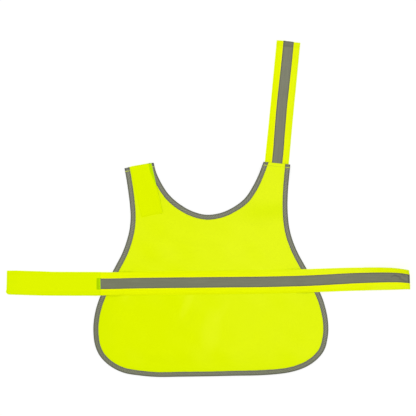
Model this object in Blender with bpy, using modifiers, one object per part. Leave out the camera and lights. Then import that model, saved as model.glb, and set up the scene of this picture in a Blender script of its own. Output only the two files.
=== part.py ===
"""A dog's high-visibility safety vest, laid flat on a floor.

One bib-shaped cloth panel has its edges bound in reflective tape. A belly belt lies across it, and
a neck strap is sewn under its right shoulder. Both carry a reflective stripe and close with hook
and loop patches. Sizes here are in millimetres and become metres as each mesh is made. X runs to
the right and Y towards the neck, as the vest is seen from above. Z is up, from the floor.
"""

import math

import bmesh
import bpy
from mathutils import Matrix, Vector, geometry

MM = 0.001

# Thickness of each cloth, and the gap that sewn pieces keep
PLY = 1.0
RIBBON_PLY = 1.5
STRIPE_PLY = 1.0
PATCH_PLY = 1.0
GAP = 0.3

# Widths of the tapes and ribbons
BINDING_WIDTH = 10.0
RIBBON_WIDTH = 50.0
RIBBON_EDGE = RIBBON_WIDTH / 2.0
STRIPE_WIDTH = 22.5
STRIPE_EDGE = STRIPE_WIDTH / 2.0

# The binding is one ply under the panel, one over it, and a fold round its edge
BINDING_STACK = 3 * PLY + 2 * GAP
FOLD_CHAMFER = 0.8
OUTLINE_STEP = 12.0

# Outer edge of the side and hem binding, from the left shoulder round to the right one
SIDE_AND_HEM_X_Y = (
    (-179.8, 88.5),
    (-175.5, 66.0),
    (-171.4, 39.0),
    (-167.8, 10.0),
    (-166.1, -18.0),
    (-168.3, -44.0),
    (-174.4, -69.0),
    (-184.1, -95.0),
    (-197.1, -121.0),
    (-214.8, -154.0),
    (-231.3, -187.0),
    (-239.5, -212.0),
    (-244.9, -239.0),
    (-246.0, -264.0),
    (-242.3, -293.0),
    (-230.3, -317.3),
    (-208.8, -338.2),
    (-181.8, -351.6),
    (-152.0, -357.4),
    (-110.0, -360.3),
    (-60.0, -360.4),
    (0.0, -359.2),
    (60.0, -358.4),
    (110.0, -357.2),
    (154.0, -353.9),
    (184.0, -348.5),
    (210.0, -338.5),
    (232.0, -323.2),
    (248.3, -303.0),
    (255.8, -277.0),
    (257.4, -252.0),
    (253.6, -223.0),
    (242.9, -187.0),
    (225.2, -154.0),
    (206.3, -121.0),
    (192.0, -95.0),
    (181.1, -69.0),
    (174.2, -44.0),
    (170.8, -18.0),
    (169.8, 10.0),
    (170.8, 39.0),
    (173.0, 66.0),
    (175.7, 95.0),
)

# Outer edge of the neck binding, from the left shoulder down and up to the right one
NECK_X_Y = (
    (-117.0, 98.8),
    (-111.7, 77.0),
    (-98.2, 49.5),
    (-82.6, 28.2),
    (-60.4, 9.2),
    (-34.6, -5.5),
    (-4.6, -13.3),
    (27.6, -9.4),
    (56.0, 3.7),
    (79.2, 22.7),
    (95.8, 46.2),
    (108.3, 71.0),
    (117.2, 100.2),
)

# The panel lies on the floor inside a border that the binding holds up. Its mesh has rings of
# points that follow the border, at these distances from the edge, and a grid inside them.
BORDER_FLAT = 12.0
BORDER_END = 36.0
BORDER_RINGS = (12.0, 20.0, 28.0, 36.0)
RING_SPACING = 16.0
RING_TOLERANCE = 0.35
GRID_SPACING = 17.0
GRID_MARGIN = 9.0

# Soft creases of the panel: centre, turn of the crease, length, width and height
CREASES = (
    {"x": 6.0, "y": -262.0, "turn": 91.0, "length": 150.0, "width": 62.0, "height": 2.2},
    {"x": -48.0, "y": -226.0, "turn": 62.0, "length": 90.0, "width": 44.0, "height": 1.6},
    {"x": 124.0, "y": -14.0, "turn": 4.0, "length": 130.0, "width": 50.0, "height": 1.8},
    {"x": -118.0, "y": -94.0, "turn": 12.0, "length": 120.0, "width": 44.0, "height": 1.4},
    {"x": 128.0, "y": -268.0, "turn": 68.0, "length": 120.0, "width": 58.0, "height": 1.4},
    {"x": -158.0, "y": -272.0, "turn": 112.0, "length": 110.0, "width": 54.0, "height": 1.4},
)
CREASE_EDGE_FADE = (20.0, 50.0)
CREASE_BELT_FADE = (32.0, 62.0)

# Where a ribbon climbs over the binding: flat over it, then down on either side of it
CLIMB_INSIDE = (16.0, 50.0)
CLIMB_OUTSIDE = (6.0, 32.0)

# Middle line of the belly belt, from its left end to its right one
BELT_LEFT_X = -431.6
BELT_RIGHT_X = 431.97
BELT_Y_BY_X = (
    (BELT_LEFT_X, -158.4),
    (-360.0, -160.6),
    (-275.0, -161.2),
    (-200.0, -161.0),
    (-20.0, -158.7),
    (155.0, -156.2),
    (262.0, -153.0),
    (330.0, -150.6),
    (385.0, -149.2),
    (BELT_RIGHT_X, -148.4),
)
BELT_LANES = (-RIBBON_EDGE, -18.0, -STRIPE_EDGE, 0.0, STRIPE_EDGE, 18.0, RIBBON_EDGE)
STRIPE_LANES = (2, 3, 4)
STRIPE_DRIFT = 2.4
STRIPE_DRIFT_START = 150.0
BELT_LOOP_RIGHT_X = -231.8
BELT_STRIPE_LEFT_X = -239.7
BELT_HOOK_LEFT_X = 333.0
BELT_STATIONS = (
    {"start": BELT_LEFT_X, "finish": -266.0, "step": 28.0},
    {"start": -266.0, "finish": -247.7, "step": 6.0},
    {"start": -247.7, "finish": BELT_STRIPE_LEFT_X, "step": 8.0},
    {"start": BELT_STRIPE_LEFT_X, "finish": BELT_LOOP_RIGHT_X, "step": 8.0},
    {"start": BELT_LOOP_RIGHT_X, "finish": -152.0, "step": 6.2},
    {"start": -152.0, "finish": 162.0, "step": 32.0},
    {"start": 162.0, "finish": 276.0, "step": 6.2},
    {"start": 276.0, "finish": BELT_HOOK_LEFT_X, "step": 12.0},
    {"start": BELT_HOOK_LEFT_X, "finish": BELT_RIGHT_X, "step": 8.5},
)

# The belt's right end curls up: tilt of its lower and upper edge at the very end, how far back
# each tilt reaches, and where the curl starts. Its upper corner is cut a little short.
CURL_LOWER = math.radians(17.0)
CURL_LOWER_REACH = 40.0
CURL_UPPER = math.radians(43.0)
CURL_UPPER_REACH = 95.0
CURL_START = (170.0, 90.0)
END_SLANT = 2.2
END_SLANT_REACH = 40.0
LEAST_BEND = 1e-6

# Neck strap: its middle line runs straight from under the right shoulder to its free end
STRAP_FOOT = Vector((147.1, 97.5))
STRAP_TOP = Vector((172.3, 358.24))
STRAP_TUCK = 12.0
STRAP_LANES = (-RIBBON_EDGE, -STRIPE_EDGE, STRIPE_EDGE, RIBBON_EDGE)
STRAP_STRIPE_LANES = (1, 2)
NECK_HOOK_LENGTH = 100.0
HOOK_SLOPE = 24.0
HOOK_SLOPE_SHARES = (0.75, 0.5, 0.25, 0.0)
HOOK_LENGTH_SHARES = (0.5, 1.0)
STRAP_STEP = 44.0

# The right shoulder climbs over the end of the neck strap
SHOULDER_LIFT = RIBBON_PLY + GAP
SHOULDER_FLAT = 15.0
SHOULDER_END = 44.0

# Loop patch on the left shoulder
SHOULDER_PATCH_CENTRE = Vector((-132.4, 39.0))
SHOULDER_PATCH_LENGTH = 110.0
SHOULDER_PATCH_WIDTH = 48.4
SHOULDER_PATCH_TURN = math.radians(12.7)
SHOULDER_PATCH_COLUMNS = 8
SHOULDER_PATCH_ROWS = 14

CURVE_PIECES = 12
SHARP_EDGE = math.radians(35.0)
MESH_TOLERANCE = 0.01


def finish(name, colour, roughness, metallic=0.0):
    """A plain material for one piece."""
    material = bpy.data.materials.new(name)
    material.use_nodes = True
    shader = material.node_tree.nodes["Principled BSDF"]
    shader.inputs["Base Color"].default_value = (*colour, 1.0)
    shader.inputs["Roughness"].default_value = roughness
    shader.inputs["Metallic"].default_value = metallic
    return material


def ease(value, start, end):
    """0 at start and before it, 1 from end on, and smooth between. Start may be the larger one."""
    share = max(0.0, min(1.0, (value - start) / (end - start)))
    return share * share * (3.0 - 2.0 * share)


def smooth_line(corners):
    """A fine line of points along a smooth curve through the corners."""
    corners = [Vector(corner) for corner in corners]
    ahead = corners[1:] + corners[-1:]
    behind = corners[:1] + corners[:-1]
    headings = [(b - a).normalized() for a, b in zip(behind, ahead)]
    line = []
    for i in range(len(corners) - 1):
        start = corners[i]
        end = corners[i + 1]
        reach = (end - start).length / 3.0
        handles = (start + headings[i] * reach, end - headings[i + 1] * reach)
        line += geometry.interpolate_bezier(start, *handles, end, CURVE_PIECES + 1)[:-1]
    return line + [corners[-1]]


def spaced(line, step):
    """Points an even distance apart along a line, near the given step, both ends kept."""
    lengths = [(b - a).length for a, b in zip(line, line[1:])]
    count = max(1, round(sum(lengths) / step))
    gap = sum(lengths) / count
    points = [line[0].copy()]
    travelled = 0.0
    for start, end, length in zip(line, line[1:], lengths):
        while len(points) < count and travelled + length >= gap * len(points):
            share = (gap * len(points) - travelled) / length
            points.append(start.lerp(end, share))
        travelled += length
    return points + [line[-1].copy()]


def distance_to_line(point, line):
    nearest = math.inf
    for start, end in zip(line, line[1:]):
        along = end - start
        share = max(0.0, min(1.0, (point - start).dot(along) / along.length_squared))
        nearest = min(nearest, (start + along * share - point).length)
    return nearest


def is_inside(point, outline):
    """Whether the point lies in the closed outline, by the edges that a line to its right crosses."""
    inside = False
    for a, b in zip(outline, outline[1:] + outline[:1]):
        if (a.y > point.y) != (b.y > point.y):
            if point.x < a.x + (b.x - a.x) * (point.y - a.y) / (b.y - a.y):
                inside = not inside
    return inside


def inward_vectors(line, start_cut, end_cut):
    """For each point of a line, the step inwards, to its left, that moves 1 mm away from it.

    The two ends follow the cut line of the shoulder there.
    """
    vectors = []
    last = len(line) - 1
    for i, point in enumerate(line):
        heading = (line[min(i + 1, last)] - line[max(i - 1, 0)]).normalized()
        normal = Vector((-heading.y, heading.x))
        cut = {0: start_cut, last: end_cut}.get(i, normal)
        vectors.append(cut / cut.dot(normal))
    return vectors


SIDE_LINE = spaced(smooth_line(SIDE_AND_HEM_X_Y), OUTLINE_STEP)
NECK_LINE = spaced(smooth_line(NECK_X_Y), OUTLINE_STEP)
OUTLINE = SIDE_LINE + NECK_LINE[::-1]
LEFT_SHOULDER_CUT = (NECK_LINE[0] - SIDE_LINE[0]).normalized()
RIGHT_SHOULDER_CUT = (SIDE_LINE[-1] - NECK_LINE[-1]).normalized()
SIDE_INWARD = inward_vectors(SIDE_LINE, LEFT_SHOULDER_CUT, -RIGHT_SHOULDER_CUT)
# The neck line runs the other way round the cloth, so its inside is on the right
NECK_INWARD = [-v for v in inward_vectors(NECK_LINE, LEFT_SHOULDER_CUT, -RIGHT_SHOULDER_CUT)]
BELT_LINE = smooth_line(BELT_Y_BY_X)


def belt_middle(x):
    """Y of the belt's middle line."""
    for start, end in zip(BELT_LINE, BELT_LINE[1:]):
        if x <= end.x:
            break
    return start.y + (end.y - start.y) * (x - start.x) / (end.x - start.x)


def shoulder_lift(point):
    """How far the right shoulder is raised by the strap's end under it."""
    if point.x < 0.0:
        return 0.0
    below_cut = (NECK_LINE[-1] - point).dot(Vector((-RIGHT_SHOULDER_CUT.y, RIGHT_SHOULDER_CUT.x)))
    return SHOULDER_LIFT * (1.0 - ease(below_cut, SHOULDER_FLAT, SHOULDER_END))


def crease_height(point, inset):
    height = 0.0
    for crease in CREASES:
        away = point - Vector((crease["x"], crease["y"]))
        turn = math.radians(crease["turn"])
        along = away.x * math.cos(turn) + away.y * math.sin(turn)
        across = away.y * math.cos(turn) - away.x * math.sin(turn)
        reach = (2.0 * along / crease["length"]) ** 2 + (2.0 * across / crease["width"]) ** 2
        height += crease["height"] * (1.0 - ease(reach, 0.0, 1.0))
    clear_of_belt = ease(abs(point.y - belt_middle(point.x)), *CREASE_BELT_FADE)
    return height * ease(inset, *CREASE_EDGE_FADE) * clear_of_belt


def panel_underside(point):
    """Height of the panel's lower face, held up by the binding and resting inside it."""
    inset = min(distance_to_line(point, SIDE_LINE), distance_to_line(point, NECK_LINE))
    held = (PLY + GAP) * (1.0 - ease(inset, BORDER_FLAT, BORDER_END))
    return held + crease_height(point, inset) + shoulder_lift(point)


def over_binding(point, edge):
    """Height that lies a gap above the panel and the binding along one edge of it."""
    from_edge = distance_to_line(point, edge)
    if not is_inside(point, OUTLINE):
        return (BINDING_STACK + GAP) * (1.0 - ease(from_edge, *CLIMB_OUTSIDE))
    cloth = panel_underside(point) + PLY
    near_edge = 1.0 - ease(from_edge, *CLIMB_INSIDE)
    return cloth + (BINDING_STACK - cloth) * near_edge + GAP


def build(name, bm, material, thickness=0.0):
    """Turns a mesh in millimetres into an object, thickened along its normals where asked."""
    bmesh.ops.scale(bm, vec=(MM, MM, MM), verts=bm.verts)
    mesh = bpy.data.meshes.new(name)
    bm.to_mesh(mesh)
    bm.free()
    mesh.materials.append(material)
    mesh.shade_smooth()
    mesh.set_sharp_from_angle(angle=SHARP_EDGE)
    piece = bpy.data.objects.new(name, mesh)
    COLLECTION.objects.link(piece)
    if thickness:
        solidify = piece.modifiers.new("Cloth thickness", "SOLIDIFY")
        solidify.thickness = thickness * MM
        solidify.offset = 1.0
    return piece


def build_sheet(name, rows, thickness, material):
    """A sheet through rows of points, thickened on its upper side."""
    bm = bmesh.new()
    grid = [[bm.verts.new(point) for point in row] for row in rows]
    for row, following in zip(grid, grid[1:]):
        for i in range(len(row) - 1):
            face = bm.faces.new((row[i], row[i + 1], following[i + 1], following[i]))
            face.normal_update()
            if face.normal.z < 0.0:
                face.normal_flip()
    return build(name, bm, material, thickness)


def offset_rows(rows, distance):
    """The rows of a sheet moved along its normals, up where the distance is more than 0."""
    moved = []
    last_row = len(rows) - 1
    for i, row in enumerate(rows):
        last = len(row) - 1
        line = []
        for j, point in enumerate(row):
            along = rows[min(i + 1, last_row)][j] - rows[max(i - 1, 0)][j]
            across = row[min(j + 1, last)] - row[max(j - 1, 0)]
            normal = along.cross(across).normalized()
            if normal.z < 0.0:
                normal.negate()
            line.append(point + normal * distance)
        moved.append(line)
    return moved


def only_lanes(rows, lanes):
    return [[row[lane] for lane in lanes] for row in rows]


def build_binding(name, line, inward, material):
    """Tape folded round the panel's edge: a C-shaped section carried along the outline."""
    top = BINDING_STACK
    section = (
        (BINDING_WIDTH, 0.0),
        (FOLD_CHAMFER, 0.0),
        (0.0, FOLD_CHAMFER),
        (0.0, top - FOLD_CHAMFER),
        (FOLD_CHAMFER, top),
        (BINDING_WIDTH, top),
        (BINDING_WIDTH, top - PLY),
        (PLY, top - PLY),
        (PLY, PLY),
        (BINDING_WIDTH, PLY),
    )
    bm = bmesh.new()
    rings = []
    for point, step in zip(line, inward):
        ring = []
        for inset, height in section:
            place = point + step * inset
            ring.append(bm.verts.new((place.x, place.y, height + shoulder_lift(place))))
        rings.append(ring)
    for ring, following in zip(rings, rings[1:]):
        for i in range(len(section)):
            j = (i + 1) % len(section)
            bm.faces.new((ring[i], ring[j], following[j], following[i]))
    bm.faces.new(rings[0])
    bm.faces.new(rings[-1])
    bmesh.ops.recalc_face_normals(bm, faces=bm.faces)
    return build(name, bm, material)


def shoulder_points(start, end):
    """Points along a shoulder's cut edge, between its two corners."""
    return spaced([start, end], GRID_SPACING)[1:-1]


def panel_points():
    """The panel's rim, then the points inside it: rings that follow its edges, and a grid."""
    inner_edge = PLY + GAP
    side = [p + step * inner_edge for p, step in zip(SIDE_LINE, SIDE_INWARD)]
    neck = [p + step * inner_edge for p, step in zip(NECK_LINE, NECK_INWARD)]
    rim = side + shoulder_points(side[-1], neck[-1])
    rim += neck[::-1] + shoulder_points(neck[0], side[0])
    cuts = ((side[0], neck[0]), (side[-1], neck[-1]))

    def room(point):
        return min(distance_to_line(point, SIDE_LINE), distance_to_line(point, NECK_LINE))

    def clear_of_cuts(point):
        return min(distance_to_line(point, cut) for cut in cuts) > GRID_MARGIN

    inside = []
    for corners, sign in ((SIDE_AND_HEM_X_Y, 1.0), (NECK_X_Y, -1.0)):
        stations = spaced(smooth_line(corners), RING_SPACING)
        for i in range(1, len(stations) - 1):
            heading = (stations[i + 1] - stations[i - 1]).normalized()
            step = Vector((-heading.y, heading.x)) * sign
            for inset in BORDER_RINGS:
                point = stations[i] + step * inset
                if room(point) > inset - RING_TOLERANCE and clear_of_cuts(point):
                    inside.append(point)
    low = Vector(min(p[axis] for p in rim) for axis in (0, 1))
    high = Vector(max(p[axis] for p in rim) for axis in (0, 1))
    for row in range(int((high.y - low.y) / GRID_SPACING)):
        for column in range(int((high.x - low.x) / GRID_SPACING)):
            shift = 0.5 * (row % 2)
            point = low + Vector((column + shift, row)) * GRID_SPACING
            far_in = is_inside(point, rim) and room(point) > BORDER_END + GRID_MARGIN
            if far_in and clear_of_cuts(point):
                inside.append(point)
    return rim, inside


def build_panel(material):
    """The bib-shaped cloth: a triangulated outline that follows the height of the cloth."""
    rim, inside = panel_points()
    loop = [(i, (i + 1) % len(rim)) for i in range(len(rim))]
    result = geometry.delaunay_2d_cdt(rim + inside, loop, [], 1, MESH_TOLERANCE)
    bm = bmesh.new()
    verts = [bm.verts.new((p.x, p.y, panel_underside(p))) for p in result[0]]
    for corners in result[2]:
        face = bm.faces.new([verts[i] for i in corners])
        face.normal_update()
        if face.normal.z < 0.0:
            face.normal_flip()
    return build("body_panel", bm, material, PLY)


def belt_stations():
    xs = []
    for stretch in BELT_STATIONS:
        length = stretch["finish"] - stretch["start"]
        count = max(1, round(length / stretch["step"]))
        xs += [stretch["start"] + length * i / count for i in range(count)]
    return xs + [BELT_RIGHT_X]


def curl_tilts(x):
    """Tilt of the belt's lower and upper edge at a place along it."""
    from_end = BELT_RIGHT_X - x
    begun = ease(from_end, *CURL_START)
    lower = CURL_LOWER * math.exp(-from_end / CURL_LOWER_REACH) * begun
    upper = CURL_UPPER * math.exp(-from_end / CURL_UPPER_REACH) * begun
    return lower, upper


def curled_across(x, lane):
    """How far across and up a lane lies from the belt's lower edge, where the belt curls."""
    lower, upper = curl_tilts(x)
    width = lane + RIBBON_EDGE
    bend = (upper - lower) / RIBBON_WIDTH
    if bend < LEAST_BEND:
        return width, 0.0
    tilt = lower + bend * width
    return (math.sin(tilt) - math.sin(lower)) / bend, (math.cos(lower) - math.cos(tilt)) / bend


def belt_lanes(x):
    """Lanes across the belt. Those of the stripe drift off the middle towards the right end."""
    drift = STRIPE_DRIFT * ease(x, STRIPE_DRIFT_START, BELT_RIGHT_X)
    return [lane + drift * (i in STRIPE_LANES) for i, lane in enumerate(BELT_LANES)]


def belt_profile(x):
    """The belt's lower face across one place: how far across and how high each lane is there.

    It also gives the belt's lower edge on the floor plan, and the way across from it.
    """
    heading = Vector((2.0, belt_middle(x + 1.0) - belt_middle(x - 1.0))).normalized()
    normal = Vector((-heading.y, heading.x))
    foot = Vector((x, belt_middle(x))) - normal * RIBBON_EDGE
    over_hook = (PATCH_PLY + GAP) * ease(x, BELT_HOOK_LEFT_X - HOOK_SLOPE, BELT_HOOK_LEFT_X)
    profile = []
    for lane in belt_lanes(x):
        across, up = curled_across(x, lane)
        rest = max(over_binding(foot + normal * across, SIDE_LINE), over_hook)
        profile.append(Vector((across, rest + up)))
    return profile, foot, normal


def belt_underside():
    """Rows of points across the belt's lower face, from its left end to its right one.

    A lane that rises takes a longer way than a flat one, so it ends further back.
    """
    rows = []
    held_back = [0.0] * len(BELT_LANES)
    stations = belt_stations()
    for before_x, x in zip(stations[:1] + stations, stations):
        profile, foot, normal = belt_profile(x)
        if before_x > BELT_HOOK_LEFT_X:
            ahead = x - before_x
            for j, (old, new) in enumerate(zip(before_profile, profile)):
                climb = min((new - old).length, ahead)
                held_back[j] += ahead - math.sqrt(ahead * ahead - climb * climb)
        slant = END_SLANT * ease(x, BELT_RIGHT_X - END_SLANT_REACH, BELT_RIGHT_X) / RIBBON_WIDTH
        row = []
        for (across, height), back in zip(profile, held_back):
            place = foot + normal * across
            row.append(Vector((place.x - back - slant * across, place.y, height)))
        rows.append(row)
        before_profile = profile
    return rows


def build_belt(finishes):
    """The belly belt with its stripe on top, its loop patch on the left and its hook patch under."""
    xs = belt_stations()
    under = belt_underside()
    build_sheet("belt_ribbon", under, RIBBON_PLY, finishes["ribbon"])

    above = offset_rows(under, RIBBON_PLY + GAP)
    stripe = [row for x, row in zip(xs, above) if x >= BELT_STRIPE_LEFT_X]
    build_sheet("belt_stripe", only_lanes(stripe, STRIPE_LANES), STRIPE_PLY, finishes["stripe"])

    patch = []
    for x, row in zip(xs, above):
        if x > BELT_LOOP_RIGHT_X:
            break
        over_stripe = x >= BELT_STRIPE_LEFT_X
        step_up = Vector((0.0, 0.0, STRIPE_PLY + GAP)) * over_stripe
        patch.append([p + step_up * (j in STRIPE_LANES) for j, p in enumerate(row)])
    build_sheet("belt_loop_patch", patch, PATCH_PLY, finishes["loop"])

    below = offset_rows(under, -(PATCH_PLY + GAP))
    hook = [row for x, row in zip(xs, below) if x >= BELT_HOOK_LEFT_X]
    build_sheet("belt_hook_patch", hook, PATCH_PLY, finishes["hook"])


def build_neck_strap(finishes):
    """The neck strap with its stripe on top and the hook patch under its free end."""
    heading = (STRAP_TOP - STRAP_FOOT).normalized()
    across = Vector((heading.y, -heading.x))
    length = (STRAP_TOP - STRAP_FOOT).length
    hook_start = length - NECK_HOOK_LENGTH
    stations = [-STRAP_TUCK, 0.0]
    count = round((hook_start - HOOK_SLOPE) / STRAP_STEP)
    stations += [(hook_start - HOOK_SLOPE) * (i + 1) / count for i in range(count)]
    stations += [hook_start - HOOK_SLOPE * share for share in HOOK_SLOPE_SHARES]
    stations += [hook_start + NECK_HOOK_LENGTH * share for share in HOOK_LENGTH_SHARES]
    under = []
    for station in stations:
        height = (PATCH_PLY + GAP) * ease(station, hook_start - HOOK_SLOPE, hook_start)
        row = []
        for lane in STRAP_LANES:
            place = STRAP_FOOT + heading * station + across * lane
            row.append(Vector((place.x, place.y, height)))
        under.append(row)
    build_sheet("neck_strap_ribbon", under, RIBBON_PLY, finishes["ribbon"])

    above = offset_rows(under, RIBBON_PLY + GAP)[1:]
    stripe = only_lanes(above, STRAP_STRIPE_LANES)
    for point in stripe[0]:
        # The stripe stops a gap away from the shoulder's slanted edge
        along_cut = (point.x - NECK_LINE[-1].x) / RIGHT_SHOULDER_CUT.x
        point.y = NECK_LINE[-1].y + RIGHT_SHOULDER_CUT.y * along_cut + GAP
    build_sheet("neck_strap_stripe", stripe, STRIPE_PLY, finishes["stripe"])

    hook_rows = len(HOOK_LENGTH_SHARES) + 1
    below = [[p - Vector((0.0, 0.0, PATCH_PLY + GAP)) for p in row] for row in under[-hook_rows:]]
    build_sheet("neck_hook_patch", below, PATCH_PLY, finishes["hook"])


def build_shoulder_patch(material):
    """The loop patch on the left shoulder, which laps over the neck binding."""
    turned = Matrix.Rotation(SHOULDER_PATCH_TURN, 2)
    rows = []
    for i in range(SHOULDER_PATCH_ROWS + 1):
        up = (i / SHOULDER_PATCH_ROWS - 0.5) * SHOULDER_PATCH_LENGTH
        row = []
        for j in range(SHOULDER_PATCH_COLUMNS + 1):
            right = (j / SHOULDER_PATCH_COLUMNS - 0.5) * SHOULDER_PATCH_WIDTH
            place = SHOULDER_PATCH_CENTRE + turned @ Vector((right, up))
            row.append(Vector((place.x, place.y, over_binding(place, NECK_LINE))))
        rows.append(row)
    build_sheet("shoulder_loop_patch", rows, PATCH_PLY, material)


for obj in list(bpy.data.objects):
    bpy.data.objects.remove(obj, do_unlink=True)
COLLECTION = bpy.data.collections.new("dog_safety_vest")
bpy.context.scene.collection.children.link(COLLECTION)

FINISHES = {
    "panel": finish("fluorescent_panel_cloth", (0.78, 0.93, 0.01), 0.8),
    "ribbon": finish("fluorescent_ribbon", (0.81, 0.93, 0.01), 0.65),
    "loop": finish("fluorescent_loop_tape", (0.75, 0.93, 0.0), 0.9),
    "hook": finish("fluorescent_hook_tape", (0.75, 0.93, 0.0), 0.5),
    "stripe": finish("reflective_stripe", (0.19, 0.2, 0.15), 0.45, 0.3),
    "binding": finish("reflective_binding", (0.2, 0.2, 0.15), 0.5, 0.3),
}

build_panel(FINISHES["panel"])
build_binding("side_and_hem_binding", SIDE_LINE, SIDE_INWARD, FINISHES["binding"])
build_binding("neck_binding", NECK_LINE, NECK_INWARD, FINISHES["binding"])
build_belt(FINISHES)
build_neck_strap(FINISHES)
build_shoulder_patch(FINISHES["loop"])
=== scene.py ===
"""Looks of a dog's high-visibility safety vest that lies flat on a pale floor.

Each cloth of the frame is replaced by a finely meshed one on the same form, with its creases, hems
and stitches. Sizes are in millimetres here and become metres as each mesh is made. X runs to the
right and Y towards the neck, as the camera sees the vest from above.
"""

import math

import bpy
import numpy as np
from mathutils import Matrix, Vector, geometry
from mathutils.bvhtree import BVHTree


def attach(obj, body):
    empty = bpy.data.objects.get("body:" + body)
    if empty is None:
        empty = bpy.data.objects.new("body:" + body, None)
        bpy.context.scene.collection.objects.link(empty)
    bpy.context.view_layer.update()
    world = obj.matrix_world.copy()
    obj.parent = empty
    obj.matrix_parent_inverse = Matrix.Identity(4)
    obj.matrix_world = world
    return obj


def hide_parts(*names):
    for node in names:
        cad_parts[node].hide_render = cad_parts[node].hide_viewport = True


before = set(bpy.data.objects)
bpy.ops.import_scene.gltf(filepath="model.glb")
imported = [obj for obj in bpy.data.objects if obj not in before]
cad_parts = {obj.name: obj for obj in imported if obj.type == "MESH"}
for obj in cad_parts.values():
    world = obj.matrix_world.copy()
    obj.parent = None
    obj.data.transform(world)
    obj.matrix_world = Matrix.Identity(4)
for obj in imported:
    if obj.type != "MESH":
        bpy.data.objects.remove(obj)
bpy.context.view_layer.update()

MM = 0.001

# Stack of cloths at the bound edge, as in the frame
PLY = 1.0
GAP = 0.3
RIBBON_PLY = 1.5
BINDING_STACK = 3 * PLY + 2 * GAP

# Thickness of each cloth as it shows
PANEL_THICK = 0.95
TAPE_THICK = 0.6
HEM_EXTRA = 0.45
PATCH_THICK = 0.8
SHOULDER_PATCH_THICK = 0.6
RIBBON_THICK = 1.2
SEWN_GAP = 0.05

RIBBON_WIDTH = 50.0
RIBBON_EDGE = RIBBON_WIDTH / 2.0
STRIPE_WIDTH = 22.5
BINDING_WIDTH = 10.0

# Outer edge of the side and hem binding, from the left shoulder round to the right one
SIDE_AND_HEM_X_Y = (
    (-179.7, 88.4), (-175.5, 66.0), (-171.4, 39.0), (-167.8, 10.0), (-166.1, -18.0),
    (-168.3, -44.0), (-174.4, -69.0), (-183.8, -94.9), (-197.1, -121.0), (-214.8, -154.0),
    (-230.8, -187.2), (-239.5, -212.0), (-244.9, -239.0), (-246.0, -264.0), (-242.3, -293.0),
    (-230.7, -317.7), (-208.8, -338.2), (-182.0, -351.4), (-152.0, -357.0), (-110.0, -360.6),
    (-60.0, -360.2), (0.0, -359.4), (60.0, -358.1), (110.0, -357.2), (154.0, -353.9),
    (184.0, -348.5), (210.1, -338.9), (232.4, -323.7), (248.6, -303.2), (255.8, -277.0),
    (257.4, -252.0), (253.6, -223.0), (242.6, -186.8), (225.2, -154.0), (206.3, -121.0),
    (192.0, -95.0), (181.1, -69.0), (174.2, -44.0), (170.8, -18.0), (169.8, 10.0),
    (170.8, 39.0), (173.0, 66.0), (175.7, 94.5),
)

# Outer edge of the neck binding, from the left shoulder down and up to the right one
NECK_X_Y = (
    (-117.4, 99.2), (-111.5, 77.1), (-98.1, 49.7), (-82.7, 28.1), (-60.5, 9.0),
    (-34.6, -5.6), (-4.6, -13.3), (27.5, -9.1), (55.8, 4.0), (79.3, 22.6),
    (95.3, 46.5), (107.7, 71.3), (118.8, 100.3),
)
CURVE_PIECES = 12

# How far the fibres of a ribbon's edge and the binding's folds stand out
FRAY = 0.4
SIDE_FOLD_OUT = 0.25
NECK_FOLD_OUT = 0.2

# The binding's width over its length, beyond 10 mm, as it was sewn
SIDE_EXTRA_WIDTH = (
    (0.0, 0.85), (60.0, 0.85), (110.0, 0.55), (180.0, 1.15), (300.0, 0.85), (396.0, 0.75),
    (430.0, 0.45), (500.0, 0.85), (565.0, 0.25), (610.0, 0.55), (690.0, 0.25), (790.0, 0.95),
    (835.0, 0.45), (870.0, 0.85), (1044.0, 0.75), (1128.0, 0.75), (1250.0, 0.45), (1290.0, 0.35),
    (1350.0, 0.75),
)
NECK_EXTRA_WIDTH = (
    (0.0, 0.35), (60.0, 0.45), (96.0, 0.95), (160.0, 0.25), (225.0, -0.05), (264.0, 0.85),
    (300.0, 1.05), (320.0, 0.3), (350.0, 0.3),
)

# The tape's middle layer across its fold: inset from the edge, and height. Below, heights count from
# the tape on the floor, and its seam pulls it up. Above, they count from the floor.
SECTION_BELOW = (
    (BINDING_WIDTH, 0.0), (9.2, 0.04), (8.5, 0.3), (7.8, 0.04), (6.0, 0.0), (3.6, 0.0),
)
SECTION_ABOVE = (
    (3.2, 3.27), (4.6, 3.2), (6.0, 3.08), (7.3, 2.9), (8.1, 2.72), (8.5, 2.68), (8.9, 2.72),
    (9.5, 2.72), (BINDING_WIDTH, 2.66),
)
FOLD_TURNS = 9

# How unevenly it was sewn: share of its width, and rise of its upper face, each with a pitch
BINDING_WAVER = {"share": 0.012, "pitch": 23.0}
BINDING_SWELL = {"height": 0.06, "pitch": 17.0, "from_height": (2.2, 2.8), "from_seam": (9.5, 5.0)}

# Where it is painted darker: insets of its inner rim and its fold, where the darkening is painted shade,
# and its cut ends at the shoulders
RIM_INSETS = (7.6, 9.2)
FOLD_INSETS = (3.4, 1.0)
CUT_DARK = 0.35
CUT_RIM_DARK = 0.4
CUT_EDGE_DARK = 0.25
RIGHT_CUT_SHARE = 0.55

# Both corners of the left shoulder were cut lower: how deep, and from where to where beside the corner
SIDE_CORNER = {"depth": 1.8, "near": 4.0, "far": 18.0}
NECK_CORNER = {"depth": 0.8, "near": 3.0, "far": 10.0}
CORNER_REACH = 6.0
OUTLINE_STEP = 3.0
CLOTH_STEP = 4.0
CLOTH_MARGIN = 2.2

# The panel lies on the floor inside a border that the binding holds up
BORDER_FLAT = 12.0
BORDER_END = 36.0

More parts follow.
